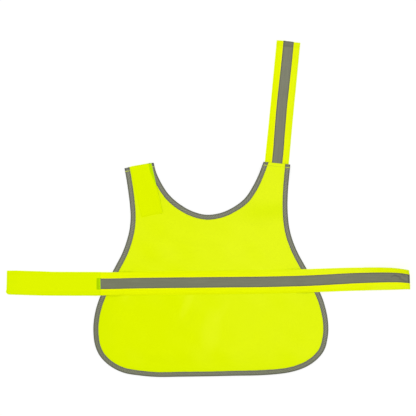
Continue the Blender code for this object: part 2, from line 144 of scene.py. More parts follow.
# Creases of the panel: centre, turn, length, width, strength, and how far the line bows sideways.
# Here the strength is a height. The first six are in the frame's form too, and the others are finer.
CREASE_FIELDS = ("x", "y", "turn", "length", "width", "strength", "bow")
CREASE_ROWS = (
    (6.0, -262.0, 91.0, 150.0, 62.0, 2.2, 0.0),
    (-48.0, -226.0, 62.0, 90.0, 44.0, 1.6, 0.0),
    (124.0, -14.0, 4.0, 130.0, 50.0, 1.8, 0.0),
    (-118.0, -94.0, 12.0, 120.0, 44.0, 1.4, 0.0),
    (128.0, -268.0, 68.0, 120.0, 58.0, 1.4, 0.0),
    (-158.0, -272.0, 112.0, 110.0, 54.0, 1.4, 0.0),
    (-30.0, -280.0, 74.0, 110.0, 22.0, 0.7, 6.0),
    (34.0, -228.0, 104.0, 96.0, 20.0, 0.8, -5.0),
    (78.0, -300.0, 22.0, 130.0, 26.0, 0.6, 8.0),
    (-96.0, -318.0, -12.0, 120.0, 24.0, 0.6, -6.0),
    (186.0, -250.0, 97.0, 120.0, 24.0, 0.7, 5.0),
    (-196.0, -232.0, 66.0, 90.0, 20.0, 0.6, 4.0),
    (-20.0, -68.0, -7.0, 150.0, 30.0, 0.8, 9.0),
    (66.0, -92.0, 24.0, 120.0, 22.0, 0.6, -6.0),
    (-96.0, -46.0, 48.0, 100.0, 20.0, 0.7, -5.0),
    (130.0, -86.0, 118.0, 90.0, 20.0, 0.6, 4.0),
    (-140.0, 34.0, 84.0, 90.0, 16.0, 0.4, 3.0),
    (138.0, 36.0, 98.0, 84.0, 18.0, 0.6, -3.0),
    (24.0, -44.0, 12.0, 90.0, 18.0, 0.5, 4.0),
    (-60.0, -110.0, 14.0, 80.0, 16.0, 0.5, -3.0),
)
CREASE_EDGE_FADE = (20.0, 50.0)
CREASE_BELT_FADE = (32.0, 62.0)

# Short ripples where a seam draws in the cloth
SEAM_RIPPLE = {"height": 0.12, "pitch": 11.0, "starts": (10.0, 12.0), "ends": (14.0, 27.0)}
BELT_RIPPLE = {"height": 0.16, "pitch": 15.0, "starts": (25.0, 27.0), "ends": (30.0, 52.0)}

# Painted sheen on the panel, paler where it faces the light: what share of it goes with X, and how much it
# spreads
PAINTED_SHEEN_BY_X = 0.52
PAINTED_SHEEN_SPREAD = 0.25
PAINTED_SHEEN_X = (-120.0, 110.0)
PAINTED_SHEEN_Y = (-225.0, -85.0)

# Painted shade that deepens its colour: beside its left edge, above its hem, and in one fold of the right
# tab
PAINTED_SHADE_SIDE = {"share": 0.5, "x": (-180.0, -235.0), "y": (-160.0, -200.0)}
PAINTED_SHADE_HEM = {"share": 0.45, "y": (-295.0, -345.0)}
PAINTED_SHADE_FOLD = {"share": 0.55, "y": -12.0, "slope": 0.05, "spread": (32.0, 2.0), "x": (45.0, 110.0)}

# Painted highlights along creases, paler than the cloth round them, in the same fields: the strength is a
# share
PAINTED_CREASE_HIGHLIGHTS = (
    (-46.0, -205.0, 68.0, 84.0, 22.0, 0.4, 0.0),
    (6.0, -262.0, 82.0, 120.0, 52.0, 0.38, 0.0),
    (28.0, -222.0, 58.0, 70.0, 24.0, 0.2, 0.0),
    (-170.0, -178.0, 60.0, 60.0, 20.0, 0.2, 0.0),
)

# Where a ribbon climbs over the binding
CLIMB_INSIDE = (16.0, 50.0)
CLIMB_OUTSIDE = (6.0, 32.0)

# Middle line of the belly belt, from its left end to its right one
BELT_LEFT_X = -431.6
BELT_RIGHT_X = 431.97
BELT_Y_BY_X = (
    (BELT_LEFT_X, -158.4), (-360.0, -160.6), (-275.0, -161.2), (-200.0, -161.0), (-20.0, -158.7),
    (155.0, -156.2), (262.0, -153.0), (330.0, -150.6), (385.0, -149.2), (BELT_RIGHT_X, -148.4),
)
BELT_STEP = 2.5
FINE_END_X = 378.0
BELT_LOOP_RIGHT_X = -230.4
BELT_STRIPE_LEFT_X = -237.8
BELT_HOOK_LEFT_X = 333.0
BELT_HEM = 3.5

# How far the stripe was sewn above the belt's middle line
STRIPE_DRIFT_BY_X = (
    (-240.0, 0.1), (-200.0, 0.3), (-172.0, 0.6), (-95.0, 0.75), (-40.0, 0.45), (8.0, 0.4),
    (50.0, 0.2), (110.0, 0.0), (150.0, 0.0), (240.0, 0.6), (291.0, 1.7), (343.0, 2.8),
    (394.0, 3.25), (410.0, 3.15), (418.0, 2.8), (425.0, 2.3), (432.0, 2.1),
)
STRIPE_SHOWN = 11.2
DRIFT_LANE_END = 18.0
HALF_LANES = (0.0, 1.8, 3.6, 5.4, 7.2, 8.6, 9.6, 10.5, STRIPE_SHOWN)
HALF_LANES += (12.0, 13.0, 14.4, 16.2, 18.0, 20.2, 21.6, 22.6, 23.8, 24.7, RIBBON_EDGE + FRAY)

# The belt's right end curls up: see the frame's form
CURL_LOWER = math.radians(17.0)
CURL_LOWER_REACH = 40.0
CURL_UPPER = math.radians(43.0)
CURL_UPPER_REACH = 95.0
CURL_START = (170.0, 90.0)
END_SLANT = 2.2
END_SLANT_REACH = 40.0
LEAST_BEND = 1e-6

# The belt's left end was cut by hand: how far its edge stands in, across the belt
LEFT_END_SHIFT = (
    (-25.0, 2.2), (-23.0, -0.2), (-20.5, -2.4), (-18.0, -1.7), (-15.0, -1.0), (25.0, -0.7),
)
LEFT_END_REACH = 9.0

# The same for its right end, which was cut straighter
RIGHT_END_SHIFT = (
    (-25.0, 1.1), (-14.0, 0.9), (-11.0, 0.2), (-5.0, -0.05), (10.5, -0.1), (13.0, -0.9),
    (25.0, -1.2),
)
RIGHT_END_REACH = 7.0

# How far the belt's upper and lower edges stand out, from the lanes beside the stripe outwards
MARGIN_LANES = (12.0, 25.0)
UPPER_EDGE_BY_X = (
    (-431.6, 0.0), (-412.0, 0.9), (-360.0, 0.9), (-335.0, 0.15), (-245.0, 0.1), (-220.0, -0.3),
    (-200.0, -0.4), (-175.0, 0.0), (0.0, 0.0), (240.0, -0.3), (432.0, -0.3),
)
LOWER_EDGE_BY_X = (
    (-431.6, 0.25), (-290.0, 0.25), (-242.0, 0.0), (-229.0, -0.6), (-216.0, -0.5), (-195.0, 0.0),
    (200.0, 0.0), (228.0, -0.5), (245.0, -0.5), (270.0, -0.3), (432.0, -0.2),
)

# Where the belt's edges are sewn down on the panel
BELT_SEWN_MIDDLE = 4.0
BELT_SEWN_HALF = 222.0
SEWN_LANE = 19.0

# How far its edges draw in at the curled end
END_PINCH_START = 385.0
END_PINCH_LOW = 0.7
END_PINCH_HIGH = 1.0

# Painted sheen on the belt: where along X it is painted paler, then less so, and where the sheen passes to
# its lower half
BELT_PAINTED_SHEEN = (-60.0, 330.0)
BELT_PAINTED_SHEEN_ENDS = {"share": 0.3, "x": (350.0, 410.0)}
BELT_PAINTED_SHEEN_TURNS = (330.0, 370.0)

# Where along X its stripe looks cooler
STRIPE_COOL = {"share": 0.55, "x": (-120.0, 300.0)}
STRIPE_COOL_END = {"share": 0.3, "x": (350.0, 395.0)}

# Faint seams along its loop patch, with their lanes, and the darker part beside its left end
PATCH_SEAMS = ((-21.6, 0.08), (-17.3, 0.32), (18.0, 0.1), (10.6, 0.06))
PATCH_DARKER_LEFT_END = (-395.0, -425.0)

# Lines where the belt's curled end has been folded: from a place and lane to another, and how strong. They
# dip the belt, and its stripe is painted with shade along them
FOLD_FIELDS = ("x", "lane", "end_x", "end_lane", "half_width", "share")
FOLD_ROWS = (
    (392.0, 1.0, 398.0, 4.6, 2.4, 0.4),
    (398.0, 5.6, 411.0, 1.6, 2.8, 0.55),
    (410.0, -2.0, 425.0, -8.4, 3.0, 0.45),
    (413.0, 9.4, 422.0, 6.0, 3.0, 0.3),
    (378.0, -4.0, 392.0, -6.4, 2.4, 0.15),
)
FOLD_DEPTH = 0.35
MARGIN_WAVE = 0.14

# Neck strap
STRAP_FOOT = np.array((147.1, 97.5))
STRAP_TOP = np.array((172.3, 358.24))
STRAP_TUCK = 12.0
STRAP_STEP = 3.0
STRAP_HEM = 11.0
STRAP_END_SHIFT = (
    (-25.0, 0.5), (-15.0, 0.8), (-9.0, 0.8), (-4.0, 0.3), (5.0, 0.3), (11.0, -0.1), (25.0, -0.1),
)
STRAP_END_REACH = 8.0
STRAP_STRIPE_DRIFT = (
    (0.0, 0.6), (30.0, 0.65), (60.0, -0.1), (90.0, -0.55), (125.0, -0.95), (160.0, -0.6),
    (200.0, -0.1), (230.0, 0.2), (262.0, 0.15),
)
STRAP_FOOT_SPREAD = 0.5
STRAP_RISE = {"height": 0.12, "pitch": 84.0, "from": (10.0, 40.0)}
# Share of painted sheen on the strap's ribbon
STRAP_PAINTED_SHEEN = 0.45
STRAP_STRIPE_COOL = 0.75
NECK_HOOK_LENGTH = 100.0
HOOK_SLOPE = 24.0

# The right shoulder climbs over the end of the neck strap
SHOULDER_LIFT = RIBBON_PLY + GAP
SHOULDER_FLAT = 15.0
SHOULDER_END = 44.0
SHOULDER_STITCH = 6.8
LEFT_SHOULDER_STITCH = 9.0

# Loop patch on the left shoulder
SHOULDER_PATCH_CENTRE = np.array((-132.8, 38.75))
SHOULDER_PATCH_LENGTH = 110.0
SHOULDER_PATCH_WIDTH = 47.8
SHOULDER_PATCH_TURN = math.radians(12.7)
SHOULDER_PATCH_RIGHT = np.array((math.cos(SHOULDER_PATCH_TURN), math.sin(SHOULDER_PATCH_TURN)))
SHOULDER_PATCH_UP = np.array((-SHOULDER_PATCH_RIGHT[1], SHOULDER_PATCH_RIGHT[0]))
PATCH_STEP = 2.0
PATCH_STITCH = 2.4
PATCH_SOFT_EDGE = 4.5
PATCH_TAPE_SHARE = 0.85

# Seams of the ribbons: their lanes, and how far they end from a cut end and a turned one
EDGE_SEAMS = (-22.6, 22.6)
STRIPE_SEAMS = (-9.9, 9.9)
SEAM_FROM_END = 1.5
STRIPE_HEM = (-10.5, 10.5)
LOWER_HEM = (-24.0, -12.0)
UPPER_HEM_END = 24.0
BELT_UPPER_HEM = 15.0
STRAP_UPPER_HEM = 12.0
SEAM_STEP = 1.5
BINDING_SEAM = 8.5
PRESSED_SEAM = {"depth": 0.12, "half_width": 0.9}

# Thread
STITCH_PITCH = 3.0
STITCH_SHARE = 0.82
STITCH_DIP = 1.2
STITCH_RISE = 0.12
STITCH_RISE_BELOW = -0.2
THREAD_THICK = 0.5
TACK_PITCH = 0.45
TACK_HALF_WIDTH = 0.95
SHARP_EDGE = math.radians(42.0)

# Photo and light
VIEW_HEIGHT = 2480.0
VIEW_CENTRE = (-0.43, 1.39)
VIEW_LENS = 100.0
VIEW_SENSOR = 36.0
FLOOR_SIZE = 40.0
FLOOR_BELOW = 0.3
FLOOR_GREY = (0.4, 0.4, 0.4, 1.0)
FLOOR_GLOW = 0.64
WHITE = (1.0, 1.0, 1.0, 1.0)
STUDIO_LIGHT = 0.775


def ease(value, start, end):
    """0 at start and before it, 1 from end on, and smooth between. Start may be the larger one."""
    share = np.clip((value - start) / (end - start), 0.0, 1.0)
    return share * share * (3.0 - 2.0 * share)


def unit(vectors):
    return vectors / np.linalg.norm(vectors, axis=-1, keepdims=True)


def travelled(line):
    """Distance along a line of points, from its start to each of them."""
    steps = np.linalg.norm(np.diff(line, axis=0), axis=1)
    return np.concatenate([[0.0], np.cumsum(steps)])


def smooth_line(corners):
    """A fine line of points along a smooth curve through the corners."""
    corners = np.array(corners)
    ahead = np.vstack([corners[1:], corners[-1:]])
    behind = np.vstack([corners[:1], corners[:-1]])
    headings = unit(ahead - behind)
    share = np.linspace(0.0, 1.0, CURVE_PIECES + 1)[:-1, None]
    curves = []
    for start, end, leaving, arriving in zip(corners, corners[1:], headings, headings[1:]):
        reach = np.linalg.norm(end - start) / 3.0
        curve = (1.0 - share) ** 3 * start
        curve = curve + 3.0 * (1.0 - share) ** 2 * share * (start + leaving * reach)
        curve = curve + 3.0 * (1.0 - share) * share**2 * (end - arriving * reach)
        curves.append(curve + share**3 * end)
    return np.vstack([*curves, corners[-1:]])


def spaced(line, step):
    """Points an even distance apart along a line, near the given step, both ends kept."""
    along = travelled(line)
    count = max(1, round(along[-1] / step))
    stations = np.linspace(0.0, along[-1], count + 1)
    return np.column_stack([np.interp(stations, along, axis) for axis in line.T])


def nearest_on_line(points, line):
    """How far each point is from a line, and how far along the line its nearest place is."""
    away = np.full(len(points), np.inf)
    place = np.zeros(len(points))
    for start, end, before in zip(line, line[1:], travelled(line)):
        step = end - start
        share = np.clip((points - start) @ step / (step @ step), 0.0, 1.0)
        distance = np.linalg.norm(points - start - share[:, None] * step, axis=1)
        closer = distance < away
        away[closer] = distance[closer]
        place[closer] = before + share[closer] * np.linalg.norm(step)
    return away, place


def are_inside(points, outline):
    """Which points lie in the closed outline, by the edges that a line to their right crosses."""
    inside = np.zeros(len(points), bool)
    x, y = points.T
    for a, b in zip(outline, np.roll(outline, -1, axis=0)):
        if a[1] == b[1]:
            continue
        crosses = (a[1] > y) != (b[1] > y)
        inside ^= crosses & (x < a[0] + (b[0] - a[0]) * (y - a[1]) / (b[1] - a[1]))
    return inside


def by_table(table, at):
    """Values at these places, between the rows of a table of places and values."""
    return np.interp(at, *np.array(table).T)


def left_of(headings):
    return np.column_stack([-headings[:, 1], headings[:, 0]])


def inward_vectors(line, start_cut, end_cut):
    """For each point of a line, the step to its left that moves 1 mm away from it."""
    normals = left_of(unit(np.gradient(line, axis=0)))
    cuts = normals.copy()
    cuts[0] = start_cut
    cuts[-1] = end_cut
    return cuts / np.sum(cuts * normals, axis=1, keepdims=True)


def uneven(along, pitch, phase):
    """A soft wave from -1 to 1 that doesn't quite repeat."""
    turns = 2.0 * np.pi * along / pitch
    return (np.sin(turns + phase) + 0.7 * np.sin(0.618 * turns + 2.1 * phase + 1.0)) / 1.7


def outer_edge(corners, out):
    """Evenly spaced points along the outline, moved out (to its left) by this much."""
    line = spaced(smooth_line(corners), OUTLINE_STEP)
    return line + left_of(unit(np.gradient(line, axis=0))) * out


SIDE_LINE = outer_edge(SIDE_AND_HEM_X_Y, -SIDE_FOLD_OUT)
NECK_LINE = outer_edge(NECK_X_Y, NECK_FOLD_OUT)
OUTLINE = np.vstack([SIDE_LINE, NECK_LINE[::-1]])
LEFT_CUT = unit(NECK_LINE[0] - SIDE_LINE[0])
RIGHT_CUT = unit(SIDE_LINE[-1] - NECK_LINE[-1])
SIDE_INWARD = inward_vectors(SIDE_LINE, LEFT_CUT, -RIGHT_CUT)
NECK_INWARD = -inward_vectors(NECK_LINE, LEFT_CUT, -RIGHT_CUT)
BELT_LINE = smooth_line(BELT_Y_BY_X)


def belt_middle(x):
    """Y of the belt's middle line."""
    return by_table(BELT_LINE, x)


def shoulder_lift(points):
    """How far the right shoulder is raised by the strap's end under it."""
    down = np.array((RIGHT_CUT[1], -RIGHT_CUT[0]))
    below_cut = (points - NECK_LINE[-1]) @ down
    lift = SHOULDER_LIFT * (1.0 - ease(below_cut, SHOULDER_FLAT, SHOULDER_END))
    return np.where(points[:, 0] < 0.0, 0.0, lift)


def crease_strength(points, rows):
    """Strength of a table's creases at each point: full along their middles, and 0 round them."""
    total = np.zeros(len(points))
    for row in rows:
        crease = dict(zip(CREASE_FIELDS, row))
        turn = math.radians(crease["turn"])
        away_x, away_y = (points - (crease["x"], crease["y"])).T
        along = (away_x * math.cos(turn) + away_y * math.sin(turn)) * 2.0 / crease["length"]
        across = away_y * math.cos(turn) - away_x * math.sin(turn) - crease["bow"] * along**2
        reach = along**2 + (across * 2.0 / crease["width"]) ** 2
        total += crease["strength"] * (1.0 - ease(reach, 0.0, 1.0))
    return total


def crease_height(points, inset):
    clear_of_belt = ease(np.abs(points[:, 1] - belt_middle(points[:, 0])), *CREASE_BELT_FADE)
    return crease_strength(points, CREASE_ROWS) * ease(inset, *CREASE_EDGE_FADE) * clear_of_belt


def ripples(ripple, away, along):
    """Short waves across a seam, with their height by the distance away from it."""
    strength = ease(away, *ripple["starts"]) * (1.0 - ease(away, *ripple["ends"]))
    patches = 0.55 + 0.45 * uneven(along, 9.0 * ripple["pitch"], 0.7)
    return ripple["height"] * strength * patches * uneven(along, ripple["pitch"], 0.3)


def panel_underside(points):
    """Height of the panel's lower face, held up by the binding and resting inside it."""
    from_side, along_side = nearest_on_line(points, SIDE_LINE)
    from_neck, along_neck = nearest_on_line(points, NECK_LINE)
    inset = np.minimum(from_side, from_neck)
    held = (PLY + GAP) * (1.0 - ease(inset, BORDER_FLAT, BORDER_END))
    height = held + crease_height(points, inset) + shoulder_lift(points)
    along = np.where(from_side < from_neck, along_side, along_neck)
    from_belt = np.abs(points[:, 1] - belt_middle(points[:, 0]))
    clear_of_belt = ease(from_belt, *BELT_RIPPLE["starts"])
    height += ripples(SEAM_RIPPLE, inset, along) * clear_of_belt
    height += ripples(BELT_RIPPLE, from_belt, points[:, 0]) * ease(inset, *SEAM_RIPPLE["ends"])
    return np.maximum(height, 0.0)


def over_binding(points, edge):
    """Height just above the panel and the binding along one edge of it."""
    from_edge = nearest_on_line(points, edge)[0]
    cloth = panel_underside(points) + PLY
    near_edge = 1.0 - ease(from_edge, *CLIMB_INSIDE)
    inside = cloth + (BINDING_STACK - cloth) * near_edge + GAP
    outside = (BINDING_STACK + GAP) * (1.0 - ease(from_edge, *CLIMB_OUTSIDE))
    height = np.where(are_inside(points, OUTLINE), inside, outside)
    return height - (GAP - SEWN_GAP) * ease(height, 0.0, PLY)


def at_edge(distance, soft=1.2, least=0.3):
    """Share of a cloth's thickness near its edge, where it is pressed thinner."""
    return least + (1.0 - least) * ease(distance, 0.0, soft)


def grid_normals(grid):
    """Unit normals of a grid of points, all on its upper side."""
    along, across = np.gradient(grid, axis=(0, 1))
    normals = unit(np.cross(along, across))
    return normals * np.where(normals[..., 2:] < 0.0, -1.0, 1.0)


def raised(grid, height):
    """A grid moved along its normals, by one height or by one for each point."""
    return grid + grid_normals(grid) * np.asarray(height)[..., None]


def on_grid(grid, rows, lanes, at_rows, at_lanes):
    """Places between the points of a grid, by the values of its rows and lanes."""
    i = np.interp(at_rows, rows, np.arange(len(rows)))
    j = np.interp(at_lanes, lanes, np.arange(len(lanes)))
    i0 = np.minimum(i.astype(int), len(rows) - 2)
    j0 = np.minimum(j.astype(int), len(lanes) - 2)
    u = (i - i0)[:, None]
    v = (j - j0)[:, None]
    near = grid[i0, j0] * (1 - v) + grid[i0, j0 + 1] * v
    far = grid[i0 + 1, j0] * (1 - v) + grid[i0 + 1, j0 + 1] * v
    return near * (1 - u) + far * u


def clear_selection():
    bpy.ops.object.select_all(action="DESELECT")


def add_object(name, data):
    """Puts a mesh, a light or a camera into the scene."""
    piece = bpy.data.objects.new(name, data)
    bpy.context.scene.collection.objects.link(piece)
    return piece


def in_edit_mode(*actions):
    """Does these actions on all of the active piece's mesh."""
    bpy.ops.object.mode_set(mode="EDIT")
    bpy.ops.mesh.select_all(action="SELECT")
    for action, settings in actions:
        action(**settings)
    bpy.ops.object.mode_set(mode="OBJECT")


def give_thickness(piece):
    """Solidify, applied. The first half of the points is then the lower face and the rest the upper."""
    bpy.context.view_layer.objects.active = piece
    solidify = piece.modifiers.new("Thickness", "SOLIDIFY")
    solidify.thickness = PLY * MM
    solidify.offset = 1.0
    bpy.ops.object.modifier_apply(modifier=solidify.name)


def finish_cloth(piece, lower, upper, uv, material, marks):
    """Places both faces of a cloth, and gives it its measures, marks, material and shading."""
    mesh = piece.data
    count = len(lower)
    give_thickness(piece)
    mesh.vertices.foreach_set("co", np.vstack([lower, upper]).ravel() * MM)
    corner_points = np.zeros(len(mesh.loops), np.int32)
    mesh.loops.foreach_get("vertex_index", corner_points)
    while mesh.uv_layers:
        mesh.uv_layers.remove(mesh.uv_layers[0])
    layer = mesh.uv_layers.new(name="cloth")
    layer.data.foreach_set("uv", (uv[corner_points % count] * MM).ravel())
    for name, values in marks.items():
        mark = mesh.attributes.new(name, "FLOAT", "POINT")
        mark.data.foreach_set("value", np.tile(values, 2).astype(np.float32))
    in_edit_mode((bpy.ops.mesh.normals_make_consistent, {"inside": False}))
    clear_selection()
    piece.select_set(True)
    bpy.ops.object.shade_smooth_by_angle(angle=SHARP_EDGE)
    mesh.materials.clear()
    mesh.materials.append(material)
    piece.select_set(False)
    return piece


def strip(name, lower, upper, uv, material, **marks):
    """A strip of cloth: a grid whose points take their places along the strip and across it."""
    rows, lanes = lower.shape[:2]
    clear_selection()
    bpy.ops.mesh.primitive_grid_add(x_subdivisions=lanes - 1, y_subdivisions=rows - 1, size=1.0)
    piece = bpy.context.object
    piece.name = name
    piece.data.name = name
    flat_marks = {mark: values.ravel() for mark, values in marks.items()}
    faces = lower.reshape(-1, 3), upper.reshape(-1, 3), uv.reshape(-1, 2)
    return finish_cloth(piece, *faces, material, flat_marks)


def strip_uv(rows, lanes):
    """Real measures of a strip: across it from its middle line, then along it."""
    return np.stack(np.meshgrid(lanes, rows), axis=-1)


def node_group(name, inputs, outputs):
    """A shader group with its sockets. An input with no value is a vector."""
    tree = bpy.data.node_groups.new(name, "ShaderNodeTree")
    for label, value in inputs.items():
        kind = "NodeSocketVector" if value is None else "NodeSocketFloat"
        socket = tree.interface.new_socket(label, in_out="INPUT", socket_type=kind)
        if value is not None:
            socket.default_value = value
    for label in outputs:
        tree.interface.new_socket(label, in_out="OUTPUT", socket_type="NodeSocketFloat")
    return tree, tree.nodes.new("NodeGroupInput"), tree.nodes.new("NodeGroupOutput")


def plug(tree, socket, value):
    """Joins a socket to another one, or gives it a constant."""
    if isinstance(value, bpy.types.NodeSocket):
        tree.links.new(value, socket)
    else:
        socket.default_value = value


def calc(tree, operation, *values):
    """A Math node on sockets or numbers."""
    node = tree.nodes.new("ShaderNodeMath")
    node.operation = operation
    for socket, value in zip(node.inputs, values):
        plug(tree, socket, value)
    return node.outputs[0]


def noise(tree, vector, scale, detail, roughness=0.5):
    node = tree.nodes.new("ShaderNodeTexNoise")
    plug(tree, node.inputs["Vector"], vector)
    plug(tree, node.inputs["Scale"], scale)
    node.inputs["Detail"].default_value = detail
    node.inputs["Roughness"].default_value = roughness
    return node.outputs["Fac"]


def apart(tree, vector):
    node = tree.nodes.new("ShaderNodeSeparateXYZ")
    plug(tree, node.inputs[0], vector)
    return node.outputs


def remap(tree, value, low, high, new_low, new_high):
    node = tree.nodes.new("ShaderNodeMapRange")
    node.interpolation_type = "SMOOTHSTEP"
    for socket, number in zip(node.inputs, (value, low, high, new_low, new_high)):
        plug(tree, socket, number)
    return node.outputs[0]


def wave(tree, value, pitch, shift=0.0):
    """Sine of a measure, with its pitch in metres."""
    turns = calc(tree, "DIVIDE", value, pitch)
    angle = calc(tree, "MULTIPLY_ADD", turns, 2.0 * math.pi, shift)
    return calc(tree, "SINE", angle)


def streaks_along(tree, vector, strength):
    """Faint light and dark streaks along a strip, around 1."""
    stretched = tree.nodes.new("ShaderNodeVectorMath")
    stretched.operation = "MULTIPLY"
    plug(tree, stretched.inputs[0], vector)
    stretched.inputs[1].default_value = (360.0, 16.0, 1.0)
    fibres = remap(tree, noise(tree, stretched.outputs[0], 1.0, 2.0), 0.3, 0.7, -1.0, 1.0)
    return calc(tree, "MULTIPLY_ADD", fibres, strength, 1.0)


def begin_pattern(name, **values):
    """A shader group for a weave, with its inputs and outputs."""
    tree, source, result = node_group(name, {"Vector": None} | values, ("Height", "Shade"))
    return tree, source.outputs, result.inputs


def end_pattern(tree, result, height, low, high, darkest, streaks=None):
    """Puts out the weave's height, and its painted shade, which is darkest in the dips."""
    shade = remap(tree, height, low, high, darkest, 1.0)
    plug(tree, result["Height"], height)
    plug(tree, result["Shade"], calc(tree, "MULTIPLY", shade, streaks) if streaks else shade)
    return tree


def knit_group():
    """Fine warp knit: columns of loops that lean left and right in turn."""
    tree, given, result = begin_pattern("warp_knit", Column=0.0009, Row=0.0007)
    x, y, _ = apart(tree, given["Vector"])
    lean = calc(tree, "MULTIPLY", wave(tree, y, given["Row"]), 1.1)
    column = wave(tree, x, given["Column"], lean)
    row = wave(tree, y, given["Row"], 1.3)
    loops = calc(tree, "MULTIPLY_ADD", column, 0.35, 0.5)
    height = calc(tree, "MULTIPLY_ADD", row, 0.15, loops)
    return end_pattern(tree, result, height, 0.0, 0.5, 0.93)


def ribbon_group():
    """Woven ribbon: fine ribs across it and finer warp threads along it."""
    tree, given, result = begin_pattern("ribbon_weave", Rib=0.0011, Warp=0.0006, Streaks=0.025)
    x, y, _ = apart(tree, given["Vector"])
    warp = wave(tree, x, given["Warp"])
    rib = wave(tree, y, given["Rib"], calc(tree, "MULTIPLY", warp, 0.9))
    height = calc(tree, "MULTIPLY_ADD", rib, 0.36, 0.5)
    height = calc(tree, "MULTIPLY_ADD", warp, 0.12, height)
    streaks = streaks_along(tree, given["Vector"], given["Streaks"])
    return end_pattern(tree, result, height, 0.05, 0.5, 0.94, streaks)


def nap_group():
    """Brushed loops: short soft fibres that lie every way."""
    tree, given, result = begin_pattern("brushed_nap", Tufts=700.0, Fibres=2600.0)
    tufts = noise(tree, given["Vector"], given["Tufts"], 2.0)
    fibres = noise(tree, given["Vector"], given["Fibres"], 3.0, 0.7)
    height = calc(tree, "MULTIPLY_ADD", fibres, 0.4, calc(tree, "MULTIPLY", tufts, 0.6))
    return end_pattern(tree, result, height, 0.3, 0.6, 0.92)


def hook_group():
    """Rows of small stiff hooks on a woven ground."""
    tree, given, result = begin_pattern("hook_rows", Pitch=0.0016)
    x, y, _ = apart(tree, given["Vector"])
    rows = wave(tree, y, given["Pitch"])
    columns = wave(tree, x, given["Pitch"], 0.6)
    hooks = calc(tree, "MULTIPLY", rows, columns)
    height = remap(tree, hooks, 0.1, 0.75, 0.0, 1.0)
    return end_pattern(tree, result, height, 0.0, 1.0, 0.82)


def bead_group():
    """Reflective tape: a skin of tiny glass beads on a cloth whose slant weave shows through."""
    inputs = {"Vector": None, "Weave": 0.0016, "Beads": 5200.0, "Streaks": 0.0}
    inputs |= {"Hatch": 0.0, "Hatch Pitch": 0.0054, "Grain": 0.0}
    tree, source, result = node_group("bead_tape", inputs, ("Height", "Shade", "Roughness"))
    given = source.outputs
    place = given["Vector"]
    x, y, _ = apart(tree, place)
    slant = calc(tree, "ADD", x, y)
    twill = wave(tree, slant, given["Weave"])
    beads = noise(tree, place, given["Beads"], 1.0)
    plug(tree, result.inputs["Height"], calc(tree, "MULTIPLY_ADD", twill, 0.3, beads))
    fine = remap(tree, beads, 0.25, 0.75, 0.9, 1.08)
    strokes = wave(tree, slant, given["Hatch Pitch"])
    where = remap(tree, noise(tree, place, 45.0, 3.0, 0.6), 0.4, 0.6, 0.2, 1.0)
    hatch = calc(tree, "MULTIPLY_ADD", calc(tree, "MULTIPLY", strokes, where), given["Hatch"], 1.0)
    spots = remap(tree, noise(tree, place, 330.0, 1.0), 0.3, 0.7, -1.0, 1.0)
    grain = calc(tree, "MULTIPLY_ADD", spots, given["Grain"], 1.0)
    streaks = streaks_along(tree, place, given["Streaks"])
    coarse = calc(tree, "MULTIPLY", calc(tree, "MULTIPLY", hatch, grain), streaks)
    plug(tree, result.inputs["Shade"], calc(tree, "MULTIPLY", fine, coarse))
    plug(tree, result.inputs["Roughness"], remap(tree, beads, 0.3, 0.7, 0.4, 0.55))
    return tree


def drift_group():
    """Soft changes of shade over a whole cloth."""
    inputs = {"Vector": None, "Scale": 7.0, "Darkest": 0.97}
    tree, source, result = node_group("soft_drift", inputs, ("Shade",))
    field = noise(tree, source.outputs["Vector"], source.outputs["Scale"], 3.0, 0.55)
    plug(tree, result.inputs["Shade"], remap(tree, field, 0.3, 0.7, source.outputs["Darkest"], 1.0))
    return tree


def use_group(tree, group, vector, **values):
    node = tree.nodes.new("ShaderNodeGroup")
    node.node_tree = group
    plug(tree, node.inputs["Vector"], vector)
    for label, value in values.items():
        plug(tree, node.inputs[label], value)
    return node.outputs


def srgb(red, green, blue):
    """A colour as it looks on screen, from 0 to 255, turned into linear light."""
    shares = [value / 255.0 for value in (red, green, blue)]
    linear = [s / 12.92 if s <= 0.04045 else ((s + 0.055) / 1.055) ** 2.4 for s in shares]
    return (*linear, 1.0)


def mix(tree, share, first, second, blend="MIX"):
    """A Mix node on colours, each one a socket or a constant."""
    node = tree.nodes.new("ShaderNodeMix")
    node.data_type = "RGBA"
    node.blend_type = blend
    plug(tree, node.inputs["Factor"], share)
    plug(tree, node.inputs["A"], first)
    plug(tree, node.inputs["B"], second)
    return node.outputs["Result"]


def shaded(tree, colour, shade):
    """A colour times a shade that changes over the surface."""
    combined = tree.nodes.new("ShaderNodeCombineColor")
    for socket in combined.inputs[:3]:
        plug(tree, socket, shade)
    return mix(tree, 1.0, colour, combined.outputs[0], "MULTIPLY")


def mark_of(tree, name):
    """A mark that the cloth's points carry, from 0 to 1."""
    node = tree.nodes.new("ShaderNodeAttribute")
    node.attribute_name = name
    return node.outputs["Fac"]


def mix_marks(tree, colour, marks):
    """The colour, turned to each mark's own colour as strongly as the cloth's points carry it."""
    for mark, marked in marks:
        colour = mix(tree, mark_of(tree, mark), colour, marked)
    return colour


def new_material(name, roughness, specular, sheen=0.0, tint=WHITE, metallic=0.0):
    material = bpy.data.materials.new(name)
    material.use_nodes = True
    shader = material.node_tree.nodes["Principled BSDF"]
    settings = {
        "Roughness": roughness,
        "Specular IOR Level": specular,
        "Sheen Weight": sheen,
        "Sheen Roughness": 0.4,
        "Sheen Tint": tint,
        "Specular Tint": tint,
        "Metallic": metallic,
    }
    for label, value in settings.items():
        shader.inputs[label].default_value = value
    return material, material.node_tree, shader


def measures(tree):
    """The cloth's own measures in metres: across it, then along it."""
    node = tree.nodes.new("ShaderNodeUVMap")
    node.uv_map = "cloth"
    return node.outputs[0]


def give_bump(tree, shader, height, strength, distance):
    bump = tree.nodes.new("ShaderNodeBump")
    bump.inputs["Strength"].default_value = strength
    bump.inputs["Distance"].default_value = distance
    plug(tree, bump.inputs["Height"], height)
    plug(tree, shader.inputs["Normal"], bump.outputs[0])


